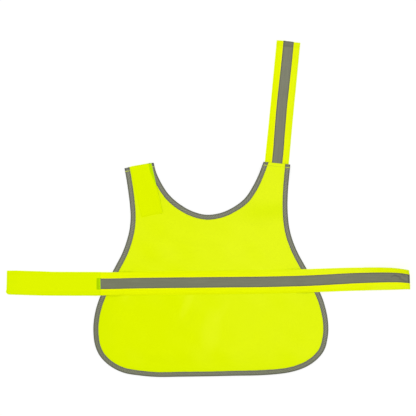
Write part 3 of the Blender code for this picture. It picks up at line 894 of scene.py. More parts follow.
def yellow_cloth(name, pattern, colour, deep, marks, finish):
    """Fluorescent cloth: its pattern and a soft drift shade it, and each mark turns it to a colour."""
    shine = finish["roughness"], finish["specular"], finish["sheen"]
    material, tree, shader = new_material(name, *shine, deep)
    place = measures(tree)
    fine = use_group(tree, pattern, place)
    drift = use_group(tree, DRIFT, place)
    result = mix_marks(tree, mix(tree, drift["Shade"], deep, colour), marks)
    plug(tree, shader.inputs["Base Color"], shaded(tree, result, fine["Shade"]))
    give_bump(tree, shader, fine["Height"], 0.5, finish["bump"])
    return material


def tape_cloth(name, colour, marks, pattern):
    """Reflective tape: each mark turns it to a colour, as its rims and ends look darker. At its folds and
    turned ends the darkening is painted shade.
    """
    material, tree, shader = new_material(name, roughness=0.45, specular=0.25, metallic=0.25)
    place = measures(tree)
    beads = use_group(tree, BEADS, place, **pattern)
    drift = use_group(tree, DRIFT, place, Scale=22.0, Darkest=0.97)
    result = shaded(tree, mix_marks(tree, colour, marks), drift["Shade"])
    plug(tree, shader.inputs["Base Color"], shaded(tree, result, beads["Shade"]))
    plug(tree, shader.inputs["Roughness"], beads["Roughness"])
    give_bump(tree, shader, beads["Height"], 0.35, 0.0001)
    return material


def thread(name, colour, deep):
    """Sewing thread, with its twist."""
    material, tree, shader = new_material(name, roughness=0.6, specular=0.15, sheen=0.1, tint=deep)
    source = tree.nodes.new("ShaderNodeTexCoord")
    twist = noise(tree, source.outputs["Object"], 2400.0, 2.0)
    plug(tree, shader.inputs["Base Color"], mix(tree, twist, deep, colour))
    give_bump(tree, shader, twist, 0.4, 0.0001)
    return material


KNIT = knit_group()
WEAVE = ribbon_group()
NAP = nap_group()
HOOKS = hook_group()
BEADS = bead_group()
DRIFT = drift_group()

# The panel's pale mark is painted sheen.
PANEL_CLOTH = yellow_cloth(
    "panel_knit",
    KNIT,
    srgb(227, 247, 0),
    srgb(224, 245, 0),
    # Its deep mark is painted shade.
    (("pale", srgb(233, 250, 27)), ("deep", srgb(220, 242, 0))),
    {"roughness": 0.85, "specular": 0.08, "sheen": 0.03, "bump": 0.00012},
)
# On the ribbon, the marks are painted sheen, a painted highlight beside the stripe, and painted shade at
# the turned end and the upper edge.
RIBBON_CLOTH = yellow_cloth(
    "ribbon_cloth",
    WEAVE,
    srgb(236, 251, 1),
    srgb(232, 248, 0),
    (("pale", srgb(237, 252, 26)), ("bright", srgb(248, 255, 2)), ("hem", srgb(212, 233, 2))),
    {"roughness": 0.75, "specular": 0.08, "sheen": 0.03, "bump": 0.00015},
)
# The loop tape's rim mark holds painted shade at a patch's edges, faint seam lines and a darker part by the
# belt's left end.
LOOP_CLOTH = yellow_cloth(
    "loop_tape",
    NAP,
    srgb(228, 248, 0),
    srgb(224, 246, 0),
    (("rim", srgb(208, 238, 1)), ("tape", srgb(182, 228, 1)), ("ridge", srgb(174, 214, 2))),
    {"roughness": 0.95, "specular": 0.03, "sheen": 0.08, "bump": 0.0003},
)
HOOK_CLOTH = yellow_cloth(
    "hook_tape",
    HOOKS,
    srgb(222, 244, 6),
    srgb(212, 238, 4),
    (),
    {"roughness": 0.45, "specular": 0.35, "sheen": 0.0, "bump": 0.0005},
)
STRIPE_TAPE = tape_cloth(
    "reflective_stripe_tape",
    srgb(119, 123, 99),
    # Its hem colour is painted shade at the turned end and along the folds.
    (("cool", srgb(127, 128, 110)), ("rim", srgb(104, 107, 88)), ("hem", srgb(84, 84, 80))),
    {"Weave": 0.0016, "Streaks": 0.06, "Grain": 0.02},
)
BINDING_TAPE = tape_cloth(
    "reflective_binding_tape",
    srgb(121, 123, 102),
    (
        ("cool", srgb(130, 131, 113)),
        # The rim and fold colours are painted shade.
        ("rim", srgb(108, 108, 101)),
        ("fold", srgb(92, 94, 76)),
        ("hem", srgb(66, 68, 60)),
    ),
    {"Weave": 0.0016, "Hatch": 0.28, "Grain": 0.1},
)
YELLOW_THREAD = thread("yellow_thread", srgb(226, 245, 5), srgb(212, 231, 3))
BRIGHT_THREAD = thread("bright_thread", srgb(234, 250, 30), srgb(212, 232, 12))
OLIVE_THREAD = thread("olive_thread", srgb(190, 204, 70), srgb(140, 152, 40))
GREY_THREAD = thread("grey_thread", srgb(116, 117, 108), srgb(88, 89, 84))


def painted_sheen_share(points):
    """Painted sheen: the cloth is painted a little paler towards the neck and the right, where it faces the
    light.
    """
    x, y = points.T
    share = PAINTED_SHEEN_BY_X * ease(x, *PAINTED_SHEEN_X) + (1.0 - PAINTED_SHEEN_BY_X) * ease(y, *PAINTED_SHEEN_Y)
    share += PAINTED_SHEEN_SPREAD * uneven(x + 0.5 * y, 74.0, 0.4) * uneven(y, 92.0, 1.9)
    return np.clip(share + crease_strength(points, PAINTED_CREASE_HIGHLIGHTS), 0.0, 1.0)


def painted_shade_share(points):
    """Painted shade: the cloth is painted a little deeper near the hem and the left side, and in a fold of
    the right tab.
    """
    x, y = points.T
    side = PAINTED_SHADE_SIDE["share"] * ease(x, *PAINTED_SHADE_SIDE["x"]) * ease(y, *PAINTED_SHADE_SIDE["y"])
    hem = PAINTED_SHADE_HEM["share"] * ease(y, *PAINTED_SHADE_HEM["y"])
    from_fold = np.abs(y - PAINTED_SHADE_FOLD["y"] - PAINTED_SHADE_FOLD["slope"] * x)
    fold = PAINTED_SHADE_FOLD["share"] * ease(from_fold, *PAINTED_SHADE_FOLD["spread"]) * ease(x, *PAINTED_SHADE_FOLD["x"])
    return np.clip(side + hem + fold, 0.0, 1.0)


def panel_mesh_points():
    """The panel's rim, then the points inside it, in rows that stagger."""
    inner_edge = PLY + GAP
    side = SIDE_LINE + SIDE_INWARD * inner_edge
    neck = NECK_LINE + NECK_INWARD * inner_edge
    right_cut = spaced(np.array([side[-1], neck[-1]]), CLOTH_STEP)[1:-1]
    left_cut = spaced(np.array([neck[0], side[0]]), CLOTH_STEP)[1:-1]
    rim = np.vstack([side, right_cut, neck[::-1], left_cut])
    for corner, line in ((SIDE_CORNER, SIDE_LINE), (NECK_CORNER, NECK_LINE)):
        across = (rim - line[0]) @ LEFT_CUT
        below = np.abs((rim - line[0]) @ left_of(LEFT_CUT[None, :])[0])
        cut = corner_cut(np.abs(across), corner) * (below < inner_edge)
        rim = rim + unit(line[1] - line[0]) * cut[:, None]
    low = rim.min(axis=0)
    high = rim.max(axis=0)
    row_step = CLOTH_STEP * math.sqrt(0.75)
    rows = np.arange(low[1], high[1], row_step)
    columns = np.arange(low[0], high[0], CLOTH_STEP)
    grid = np.stack(np.meshgrid(columns, rows), axis=-1)
    grid[1::2, :, 0] += CLOTH_STEP / 2.0
    grid = grid.reshape(-1, 2)
    grid = grid[are_inside(grid, rim)]
    room = nearest_on_line(grid, np.vstack([rim, rim[:1]]))[0]
    return rim, grid[room > CLOTH_MARGIN]


def make_panel():
    """The bib-shaped cloth, a flat cut that takes the height of the cloth at each of its points."""
    rim, inside = panel_mesh_points()
    loop = [(i, (i + 1) % len(rim)) for i in range(len(rim))]
    corners = [Vector(point) for point in np.vstack([rim, inside])]
    found = geometry.delaunay_2d_cdt(corners, loop, [], 1, 0.001)
    mesh = bpy.data.meshes.new("body_panel_cloth")
    mesh.from_pydata([(*point, 0.0) for point in found[0]], [], found[2])
    piece = add_object("body_panel_cloth", mesh)
    plan = np.array(found[0])
    lower = np.column_stack([plan, panel_underside(plan)])
    upper = lower + np.array((0.0, 0.0, PANEL_THICK))
    marks = {"pale": painted_sheen_share(plan), "deep": painted_shade_share(plan)}
    return finish_cloth(piece, lower, upper, plan, PANEL_CLOTH, marks)


def corner_cut(distance, corner):
    """How much lower a shoulder's end was cut at this distance from its corner."""
    return corner["depth"] * (1.0 - ease(distance, corner["near"], corner["far"]))


def binding_section():
    """The tape's middle layer across its fold, from its lower rim round the edge to its upper one."""
    radius = (BINDING_STACK - TAPE_THICK) / 2.0
    middle = BINDING_STACK / 2.0
    floor = TAPE_THICK / 2.0
    fold = floor + radius
    turns = np.radians(np.linspace(-90.0, 90.0, FOLD_TURNS))
    arc = np.column_stack([fold - radius * np.cos(turns), middle + radius * np.sin(turns)])
    under = [(inset, floor + height) for inset, height in SECTION_BELOW]
    return np.vstack([under, arc, SECTION_ABOVE])


def make_binding(name, line, inward, phase, extra_width, corner):
    """Tape folded round the panel's edge, a little uneven in width as it is when sewn by hand."""
    section = binding_section()
    along = travelled(line)
    step = np.gradient(section, axis=0)
    out = unit(np.column_stack([-step[:, 1], step[:, 0]]))
    widths = 1.0 + by_table(extra_width, along) / BINDING_WIDTH
    widths += BINDING_WAVER["share"] * uneven(along, BINDING_WAVER["pitch"], 2.0 * phase)
    swell = BINDING_SWELL["height"] * uneven(along, BINDING_SWELL["pitch"], 0.4 + phase)
    faces = []
    for side in (-0.5, 0.5):
        shape = section + out * side * TAPE_THICK
        inset = shape[None, :, 0] * widths[:, None]
        plan = line[:, None, :] + inward[:, None, :] * inset[..., None]
        height = shape[None, :, 1] + shoulder_lift(plan.reshape(-1, 2)).reshape(inset.shape)
        on_top = ease(shape[:, 1], *BINDING_SWELL["from_height"])
        on_top = on_top * ease(shape[:, 0], *BINDING_SWELL["from_seam"])
        height = height + swell[:, None] * on_top[None, :]
        cut = corner_cut(inset, corner) * (1.0 - ease(along, 0.0, CORNER_REACH))[:, None]
        plan = plan + unit(line[1] - line[0]) * cut[..., None]
        faces.append(np.dstack([plan, np.maximum(height, 0.0)]))
    uv = strip_uv(along, travelled(section))
    # Painted shade on the inner rim beside the seam and on the rounded fold
    rim = ease(section[:, 0], *RIM_INSETS)
    fold = ease(section[:, 0], *FOLD_INSETS)
    from_end = np.minimum(along, along[-1] - along)
    cut = 1.0 - ease(from_end, SHOULDER_STITCH - 2.0, SHOULDER_STITCH)
    cut = cut * np.where(line[:, 0] < 0.0, 1.0, RIGHT_CUT_SHARE)
    edges = CUT_DARK + CUT_RIM_DARK * np.maximum(rim, fold)[None, :]
    edges = edges + CUT_EDGE_DARK * ease(from_end, 2.5, 1.0)[:, None]
    # Painted shade: darker towards the hem, paler and cooler towards the neck, which faces the light
    cool = ease(-line[:, 1] - 0.25 * line[:, 0], 320.0, 180.0)
    every = np.ones((len(line), len(section)))
    marks = {
        "rim": every * rim,
        "fold": every * fold,
        "cool": every * cool[:, None],
        "hem": cut[:, None] * edges,
    }
    return strip(name, faces[0], faces[1], uv, BINDING_TAPE, **marks)


LANES = np.array(sorted({s * lane for lane in HALF_LANES for s in (-1.0, 1.0)}))
ON_STRIPE = np.abs(LANES) <= STRIPE_SHOWN
STRIPE_LANES = LANES[ON_STRIPE]
BELT_MARKS = (BELT_STRIPE_LEFT_X, BELT_LOOP_RIGHT_X, BELT_HOOK_LEFT_X, BELT_RIGHT_X - BELT_HEM)


def belt_stations():
    even = np.arange(BELT_LEFT_X, BELT_RIGHT_X, BELT_STEP)
    even = np.concatenate([even, even[even > FINE_END_X] + BELT_STEP / 2.0])
    even = np.sort(even[even < BELT_RIGHT_X - BELT_STEP / 3.0])
    near_mark = np.min(np.abs(even[1:, None] - np.array(BELT_MARKS)), axis=1)
    kept = even[1:][near_mark > BELT_STEP / 4.0]
    fine = [mark + shift for mark in BELT_MARKS for shift in (-0.4, 0.0, 0.4)]
    return np.unique(np.concatenate([[BELT_LEFT_X], kept, fine, [BELT_RIGHT_X]]))


def near_stripe(drift, lanes):
    """A drift at each row, full for the stripe's lanes and less for those beside it."""
    share = 1.0 - np.clip((np.abs(lanes) - STRIPE_SHOWN) / (DRIFT_LANE_END - STRIPE_SHOWN), 0.0, 1.0)
    return drift[:, None] * share[None, :]


def fold_share(xs, lanes):
    """How strongly the belt is folded at each row and lane, from 0 to 1."""
    share = np.zeros((len(xs), len(lanes)))
    for row in FOLD_ROWS:
        fold = dict(zip(FOLD_FIELDS, row))
        run = np.array((fold["end_x"] - fold["x"], fold["end_lane"] - fold["lane"]))
        away_x = (xs - fold["x"])[:, None]
        away_lane = (lanes - fold["lane"])[None, :]
        along = np.clip((away_x * run[0] + away_lane * run[1]) / (run @ run), 0.0, 1.0)
        distance = np.hypot(away_x - along * run[0], away_lane - along * run[1])
        strength = fold["share"] * (1.0 - ease(distance, 0.3 * fold["half_width"], fold["half_width"]))
        share = np.maximum(share, strength)
    return share


def margin_wave(rows, lanes):
    """The sewn edges of a ribbon pucker a little along its seams."""
    wave_up = 1.0 + uneven(rows, 31.0, 0.8)[:, None] * np.where(lanes > 0.0, 1.0, -1.0)[None, :]
    return MARGIN_WAVE * wave_up * ease(np.abs(lanes), 12.0, 21.0)[None, :]


def curled_section(from_end, width):
    """How far each lane lies across the belt and above its lower edge, as its right end curls up."""
    begun = ease(from_end, *CURL_START)
    low = (CURL_LOWER * np.exp(-from_end / CURL_LOWER_REACH) * begun)[:, None]
    high = (CURL_UPPER * np.exp(-from_end / CURL_UPPER_REACH) * begun)[:, None]
    bend = (high - low) / RIBBON_WIDTH
    flat = bend < LEAST_BEND
    bend = np.where(flat, 1.0, bend)
    tilt = low + bend * width
    across = np.where(flat, width, (np.sin(tilt) - np.sin(low)) / bend)
    up = np.where(flat, 0.0, (np.cos(low) - np.cos(tilt)) / bend)
    return across, up


def edge_shift(xs, width):
    """How far the belt's edges stand out of an even ribbon, and draw in at the curled end."""
    stands_out = by_table(UPPER_EDGE_BY_X, xs)[:, None] * ease(LANES, *MARGIN_LANES)
    stands_out -= by_table(LOWER_EDGE_BY_X, xs)[:, None] * ease(-LANES, *MARGIN_LANES)
    pinch = ease(xs, END_PINCH_START, BELT_RIGHT_X)[:, None]
    pinch = pinch * ease(np.abs(LANES), STRIPE_SHOWN, RIBBON_EDGE)
    from_low = width / RIBBON_WIDTH
    return stands_out + pinch * (END_PINCH_LOW * (1.0 - from_low) - END_PINCH_HIGH * from_low)


def belt_rest(xs, plan):
    """Height of what lies under the belt, all along it."""
    rest = over_binding(plan.reshape(-1, 2), SIDE_LINE).reshape(plan.shape[:2])
    over_hook = (PLY + GAP) * ease(xs, BELT_HOOK_LEFT_X - HOOK_SLOPE, BELT_HOOK_LEFT_X)
    rest = np.maximum(rest, over_hook[:, None])
    on_panel = ease(np.abs(xs - BELT_SEWN_MIDDLE), BELT_SEWN_HALF + 8.0, BELT_SEWN_HALF)[:, None]
    return rest - (GAP - SEWN_GAP) * ease(np.abs(LANES), SEWN_LANE, RIBBON_EDGE) * on_panel


def climb_loss(xs, profile):
    """How far each row is held back, as the belt keeps its length where it climbs at the curled end."""
    ahead = np.diff(xs)[:, None]
    climb = np.minimum(np.linalg.norm(np.diff(profile, axis=0), axis=2), ahead)
    held = (ahead - np.sqrt(ahead**2 - climb**2)) * (xs[:-1, None] > BELT_HOOK_LEFT_X)
    return np.vstack([np.zeros(len(LANES)), np.cumsum(held, axis=0)])


def belt_form():
    """Rows of points across the belt's lower face, from its left end to its right one."""
    xs = belt_stations()
    from_end = BELT_RIGHT_X - xs
    drift = by_table(smooth_line(STRIPE_DRIFT_BY_X), xs)
    width = LANES[None, :] + near_stripe(drift, LANES) + RIBBON_EDGE
    across, up = curled_section(from_end, width)
    across = across + edge_shift(xs, width)
    up = up + margin_wave(xs, LANES) - FOLD_DEPTH * fold_share(xs, LANES)
    slope = (belt_middle(xs + 1.0) - belt_middle(xs - 1.0)) / 2.0
    normal = left_of(unit(np.column_stack([np.ones_like(xs), slope])))
    foot = np.column_stack([xs, belt_middle(xs)]) - normal * RIBBON_EDGE
    plan = foot[:, None, :] + normal[:, None, :] * across[..., None]
    height = belt_rest(xs, plan) + up
    slant = END_SLANT * ease(xs, BELT_RIGHT_X - END_SLANT_REACH, BELT_RIGHT_X)
    held_back = climb_loss(xs, np.dstack([across, height]))
    plan[..., 0] -= held_back + slant[:, None] * across / RIBBON_WIDTH
    near_left = 1.0 - ease(xs - BELT_LEFT_X, 0.0, LEFT_END_REACH)
    near_right = 1.0 - ease(from_end, 0.0, RIGHT_END_REACH)
    plan[..., 0] += by_table(LEFT_END_SHIFT, LANES) * near_left[:, None]
    plan[..., 0] += by_table(RIGHT_END_SHIFT, LANES) * near_right[:, None]
    return xs, np.dstack([plan, height])


def ribbon_thickness(rows, hem_start):
    """Thickness of a ribbon over its rows and lanes: thin selvedges, pressed seams, a turned end."""
    selvedge = at_edge(LANES[-1] - np.abs(LANES), 2.0)
    from_seam = np.abs(np.abs(LANES) - EDGE_SEAMS[1])
    seam = PRESSED_SEAM["depth"] * (1.0 - ease(from_seam, 0.0, PRESSED_SEAM["half_width"]))
    profile = RIBBON_THICK * (selvedge - seam)
    turned = HEM_EXTRA * ease(rows, hem_start - 0.5, hem_start + 0.5)
    ends = at_edge(rows[-1] - rows, 1.5, 0.6)
    return (profile[None, :] + turned[:, None]) * ends[:, None]


def end_shade_share(rows, hem_start, turned, last):
    """Painted shade on a turned end along its rows: the folded part, then the very edge."""
    folded = turned * ease(rows, hem_start - 0.4, hem_start + 0.6)
    return np.maximum(folded, last * ease(rows, rows[-1] - 2.2, rows[-1] - 0.6))[:, None]


def make_stripe(name, top, uv, shown, painted_end_shade, cool, painted_fold_shade=0.0, fit_foot=None):
    """The reflective stripe along a ribbon's middle, over the rows where it shows."""
    place = np.ix_(shown, ON_STRIPE)
    normals = grid_normals(top)[place]
    below = top[place] + normals * SEWN_GAP
    if fit_foot:
        fit_foot(below[0])
    thickness = TAPE_THICK * at_edge(STRIPE_SHOWN - np.abs(STRIPE_LANES), 0.8, 0.5)
    above = below + normals * thickness[None, :, None]
    every = np.ones(below.shape[:2])
    marks = {
        "rim": every * ease(np.abs(STRIPE_LANES), 8.2, 10.6),
        # Painted shade at the turned end and along the folds
        "hem": np.maximum(every * painted_end_shade[shown], painted_fold_shade),
        "cool": every * cool,
    }
    return strip(name, below, above, uv[place], STRIPE_TAPE, **marks)


def make_hook(name, under, uv, shown):
    """A hook patch under a ribbon's free end, over its rows."""
    above = raised(under[shown], -(GAP - SEWN_GAP))
    below = raised(under[shown], -(PLY + GAP - SEWN_GAP))
    return strip(name, below, above, uv[shown], HOOK_CLOTH)


def ribbon_marks(rows, painted_end_shade, pale, turned):
    # Painted sheen on the upper lanes, passing to the lower ones where the end turns
    upper = ease(LANES, -30.0, 12.0)[None, :]
    # Painted highlight on the ribbon beside each edge of the stripe, where the cloth catches the light
    painted_highlight_by_stripe = 1.0 - ease(np.abs(np.abs(LANES) - 12.4), 0.5, 2.2)
    # Painted shade along the upper edge, and at the turned end
    edge = ease(LANES, 22.4, 25.0) * 0.25
    return {
        "pale": pale[:, None] * (upper + (1.0 - 2.0 * upper) * turned[:, None]),
        "bright": np.tile(painted_highlight_by_stripe, (len(rows), 1)),
        "hem": np.maximum(np.tile(edge, (len(rows), 1)), 0.6 * painted_end_shade * np.ones(len(LANES))),
    }


def make_belt_loop(xs, top, uv):
    """The loop patch on the belt's left end, which laps over the stripe's start."""
    shown = xs <= BELT_LOOP_RIGHT_X
    xs = xs[shown]
    aside = np.abs(LANES)
    over_stripe = ease(xs, BELT_STRIPE_LEFT_X - 1.2, BELT_STRIPE_LEFT_X)[:, None]
    over_stripe = over_stripe * ease(aside, STRIPE_SHOWN + 1.3, STRIPE_SHOWN)[None, :]
    below = raised(top[shown], SEWN_GAP + (TAPE_THICK + SEWN_GAP) * over_stripe)
    from_ends = np.minimum(xs - BELT_LEFT_X, BELT_LOOP_RIGHT_X - xs)
    from_edge = np.minimum(from_ends[:, None], LANES[-1] - aside[None, :])
    above = raised(below, PATCH_THICK * at_edge(from_edge, 2.0, 0.25))
    ridge = ease(xs, BELT_STRIPE_LEFT_X - 0.6, BELT_STRIPE_LEFT_X)
    ridge = ridge * (1.0 - ease(xs, BELT_STRIPE_LEFT_X + 3.9, BELT_STRIPE_LEFT_X + 5.1))
    inner = ease(aside, STRIPE_SHOWN + 0.9, STRIPE_SHOWN - 0.2)
    # Painted shade along the patch's edges, away from its right end
    rim = (1.0 - ease(from_edge, 0.4, 2.2)) * ease(xs, -240.0, -260.0)[:, None] * 0.25
    seams = sum(ease(np.abs(LANES - lane), 1.8, 0.3) * share for lane, share in PATCH_SEAMS)
    darker_left_end = ease(xs, *PATCH_DARKER_LEFT_END)[:, None] * (0.13 + 0.1 * uneven(LANES, 17.0, 0.5))
    marks = {
        "rim": np.clip(rim + seams[None, :] + darker_left_end, 0.0, 1.0),
        "tape": over_stripe,
        "ridge": ridge[:, None] * inner[None, :],
    }
    return strip("belly_belt_loop_patch", below, above, uv[shown], LOOP_CLOTH, **marks)


def make_belt():
    """The belly belt with its stripe, its loop patch on the left and its hook patch under the right."""
    xs, under = belt_form()
    hem_start = BELT_RIGHT_X - BELT_HEM
    top = raised(under, ribbon_thickness(xs, hem_start))
    uv = strip_uv(xs, LANES)
    painted_end_shade = end_shade_share(xs, hem_start, 0.75, 1.0)
    pale = ease(xs, *BELT_PAINTED_SHEEN) * (1.0 - BELT_PAINTED_SHEEN_ENDS["share"] * ease(xs, *BELT_PAINTED_SHEEN_ENDS["x"]))
    marks = ribbon_marks(xs, painted_end_shade, pale, ease(xs, *BELT_PAINTED_SHEEN_TURNS))
    on_tape = xs >= BELT_STRIPE_LEFT_X
    rows = xs[on_tape]
    cool = sum(part["share"] * ease(rows, *part["x"]) for part in (STRIPE_COOL, STRIPE_COOL_END))
    painted_fold_shade = fold_share(rows, STRIPE_LANES)
    pieces = {
        "ribbon": strip("belly_belt_ribbon", under, top, uv, RIBBON_CLOTH, **marks),
        "stripe": make_stripe("belly_belt_stripe", top, uv, on_tape, painted_end_shade, cool[:, None], painted_fold_shade),
        "loop": make_belt_loop(xs, top, uv),
        "hook": make_hook("belly_belt_hook_patch", under, uv, xs >= BELT_HOOK_LEFT_X),
    }
    return xs, top, pieces


def fit_to_shoulder(foot):
    """Moves the foot of the strap's stripe to the shoulder's slanted edge."""
    along_cut = (foot[:, 0] - NECK_LINE[-1, 0]) / RIGHT_CUT[0]
    foot[:, 1] = NECK_LINE[-1, 1] + RIGHT_CUT[1] * along_cut + GAP


def make_neck_strap():
    """The neck strap, from under the right shoulder to its turned end."""
    heading = unit(STRAP_TOP - STRAP_FOOT)
    across = np.array((heading[1], -heading[0]))
    length = np.linalg.norm(STRAP_TOP - STRAP_FOOT)
    hook_start = length - NECK_HOOK_LENGTH
    hem_start = length - STRAP_HEM
    even = np.arange(-STRAP_TUCK, length - STRAP_STEP / 2.0, STRAP_STEP)
    fine = np.array([hem_start - 0.5, hem_start + 0.5, hook_start, 0.0, length - 0.6, length])
    rows = np.unique(np.round(np.concatenate([even, fine]), 3))
    height = (PLY + GAP) * ease(rows, hook_start - HOOK_SLOPE, hook_start)
    rise = STRAP_RISE["height"] * (1.0 + uneven(rows, STRAP_RISE["pitch"], 1.4))
    height += rise * ease(rows, *STRAP_RISE["from"])
    lanes = LANES + near_stripe(by_table(smooth_line(STRAP_STRIPE_DRIFT), rows), LANES)
    spread = STRAP_FOOT_SPREAD * (1.0 - ease(rows, 10.0, 90.0))[:, None]
    lanes = lanes + spread * np.sign(LANES) * ease(np.abs(LANES), *MARGIN_LANES)
    shift = by_table(STRAP_END_SHIFT, LANES) * ease(rows, length - STRAP_END_REACH, length)[:, None]
    plan = STRAP_FOOT + heading * (rows[:, None] + shift)[..., None] + across * lanes[..., None]
    under = np.dstack([plan, np.tile(height[:, None], (1, len(LANES)))])
    top = raised(under, ribbon_thickness(rows, hem_start))
    uv = strip_uv(rows, LANES)
    painted_end_shade = end_shade_share(rows, hem_start, 0.3, 0.7)
    marks = ribbon_marks(rows, painted_end_shade, np.full(len(rows), STRAP_PAINTED_SHEEN), np.zeros(len(rows)))
    stripe = ("neck_strap_stripe_tape", top, uv, rows >= 0.0, painted_end_shade, STRAP_STRIPE_COOL)
    pieces = {
        "ribbon": strip("neck_strap_ribbon_cloth", under, top, uv, RIBBON_CLOTH, **marks),
        "stripe": make_stripe(*stripe, fit_foot=fit_to_shoulder),
        "hook": make_hook("neck_strap_hook_patch", under, uv, rows >= hook_start),
    }
    return rows, top, pieces


def make_shoulder_patch():
    """The loop patch on the left shoulder, which laps over the neck binding."""
    half_length = SHOULDER_PATCH_LENGTH / 2.0
    half_width = SHOULDER_PATCH_WIDTH / 2.0
    rows = np.linspace(-half_length, half_length, round(SHOULDER_PATCH_LENGTH / PATCH_STEP) + 1)
    lanes = np.linspace(-half_width, half_width, round(SHOULDER_PATCH_WIDTH / PATCH_STEP) + 1)
    plan = SHOULDER_PATCH_CENTRE + SHOULDER_PATCH_UP * rows[:, None, None]
    plan = plan + SHOULDER_PATCH_RIGHT * lanes[None, :, None]
    flat = plan.reshape(-1, 2)
    height = over_binding(flat, NECK_LINE).reshape(len(rows), len(lanes))
    from_edge = np.minimum(
        (half_length - np.abs(rows))[:, None], (half_width - np.abs(lanes))[None, :]
    )
    below = np.dstack([plan, height - (GAP - SEWN_GAP) * ease(from_edge, 5.0, 0.5)])
    above = raised(below, SHOULDER_PATCH_THICK * at_edge(from_edge, PATCH_SOFT_EDGE, 0.15))
    from_neck = nearest_on_line(flat, NECK_LINE)[0].reshape(height.shape)
    return strip(
        "shoulder_loop_patch_cloth",
        below,
        above,
        strip_uv(rows, lanes),
        LOOP_CLOTH,
        rim=np.zeros_like(height),
        tape=ease(from_neck, BINDING_WIDTH + 2.4, BINDING_WIDTH + 0.6) * PATCH_TAPE_SHARE,
        ridge=np.zeros_like(height),
    )


def stitch_template():
    """One stitch, 1 mm long, wide and high, with its ends dipping into the cloth."""
    clear_selection()
    bpy.ops.mesh.primitive_uv_sphere_add(segments=8, ring_count=6, radius=0.5)
    sphere = bpy.context.object
    quarter = {"value": math.pi / 2.0, "orient_axis": "Y", "center_override": (0.0, 0.0, 0.0)}
    in_edit_mode((bpy.ops.transform.rotate, quarter))
    points = np.array([vertex.co for vertex in sphere.data.vertices])
    faces = [tuple(face.vertices) for face in sphere.data.polygons]
    bpy.data.objects.remove(sphere)
    points[:, 2] -= STITCH_DIP * points[:, 0] ** 2
    return points, faces


STITCH_POINTS, STITCH_FACES = stitch_template()


def tree_of(pieces):
    """One search tree over several cloths."""
    points = []
    faces = []
    for piece in pieces:
        mesh = piece.data
        first = len(points)
        points += [vertex.co.copy() for vertex in mesh.vertices]
        faces += [[first + i for i in face.vertices] for face in mesh.polygons]
    return BVHTree.FromPolygons(points, faces)


def zigzag(start, end):
    """A close zigzag between two places, as a bar tack is sewn."""
    count = round(np.linalg.norm(end - start) / TACK_PITCH)
    share = np.linspace(0.0, 1.0, count + 1)[:, None]
    aside = left_of(unit(end - start)[None, :]) * TACK_HALF_WIDTH
    aside = aside * np.where(np.arange(count + 1) % 2, 1.0, -1.0)[:, None]
    return start + (end - start) * share + aside


def sew(name, routes, cloths, material, from_below=False, pitch=STITCH_PITCH):
    """Rows of stitches on the cloths: each route is a line of points on the plan.

    With no pitch, the points of the route are the needle holes themselves.
    """
    search = tree_of(cloths)
    way = Vector((0.0, 0.0, 1.0 if from_below else -1.0))
    start_height = -0.05 if from_below else 0.2
    thick = THREAD_THICK * MM
    rise = thick * (STITCH_RISE_BELOW if from_below else STITCH_RISE)
    points = []
    faces = []
    for route in routes:
        places = []
        route = np.asarray(route)[:, :2]
        for x, y in (spaced(route, pitch) if pitch else route) * MM:
            hit, normal, _, _ = search.ray_cast(Vector((x, y, start_height)), way)
            if hit:
                places.append((np.array(hit), np.array(normal)))
        for (start, normal), (end, _) in zip(places, places[1:]):
            run = end - start
            length = np.linalg.norm(run)
            if length > 2.0 * STITCH_PITCH * MM:
                continue
            ahead = run / length
            side = unit(np.cross(normal, ahead))
            up = np.cross(ahead, side)
            local = STITCH_POINTS * (length * STITCH_SHARE, thick, thick)
            middle = (start + end) / 2.0 + up * rise
            placed = middle + local @ np.array([ahead, side, up])
            faces += [[len(points) + i for i in face] for face in STITCH_FACES]
            points += placed.tolist()
    mesh = bpy.data.meshes.new(name)
    mesh.from_pydata(points, [], faces)
    mesh.shade_smooth()
    mesh.materials.append(material)
    return add_object(name, mesh)


def along_lane(ribbon, lane, start, end):
    """Points along one lane of a belt or strap, between two places along it."""
    rows, top, _ = ribbon
    stations = np.arange(start, end, SEAM_STEP)
    return on_grid(top, rows, LANES, stations, np.full(len(stations), lane))


def across_row(ribbon, row, lowest=-23.5, highest=23.5):
    rows, top, _ = ribbon
    lanes = np.linspace(lowest, highest, 24)
    return on_grid(top, rows, LANES, np.full(len(lanes), row), lanes)


def cut_row(start, end, inset):
    """A line beside a shoulder's cut edge, below it."""
    start = np.asarray(start)
    end = np.asarray(end)
    ahead = unit(end - start)
    down = np.array((ahead[1], -ahead[0]))
    return np.array([start + down * inset + ahead * 0.8, end + down * inset - ahead * 0.8])


def sew_ribbon(name, ribbon, starts, hem, upper_hem, patch_rows=()):
    """The seams of a belt or strap: its edges, its stripe, its patch and its turned end."""
    edge_start, stripe_start = starts
    end = ribbon[0][-1] - SEAM_FROM_END
    turned = ribbon[0][-1] - hem + SEAM_FROM_END
    edges = [along_lane(ribbon, lane, edge_start, end) for lane in EDGE_SEAMS]
    patch = [across_row(ribbon, row) for row in patch_rows]
    stripe = [along_lane(ribbon, lane, stripe_start, end) for lane in STRIPE_SEAMS]
    stripe.append(across_row(ribbon, turned, *STRIPE_HEM))
    hems = [across_row(ribbon, turned, *lanes) for lanes in (LOWER_HEM, (upper_hem, UPPER_HEM_END))]
    seams = {"edge": edges, "patch": patch, "stripe": stripe, "hem": hems}
    cloths = list(ribbon[2].values())
    sewn = []
    for part, routes in seams.items():
        kind = GREY_THREAD if part == "stripe" else YELLOW_THREAD
        if routes:
            sewn.append(sew(f"{name}_{part}_stitches", routes, cloths, kind))
    return sewn


def sew_bindings(bindings):
    """The seam that holds both faces of each binding, above and below."""
    sewn = []
    for under, below in (("", False), ("under_", True)):
        for name, piece, line, inward in bindings:
            route = (line + inward * BINDING_SEAM)[1:-1]
            sewn.append(sew(f"{name}_binding_{under}stitches", [route], [piece], GREY_THREAD, below))
    return sewn


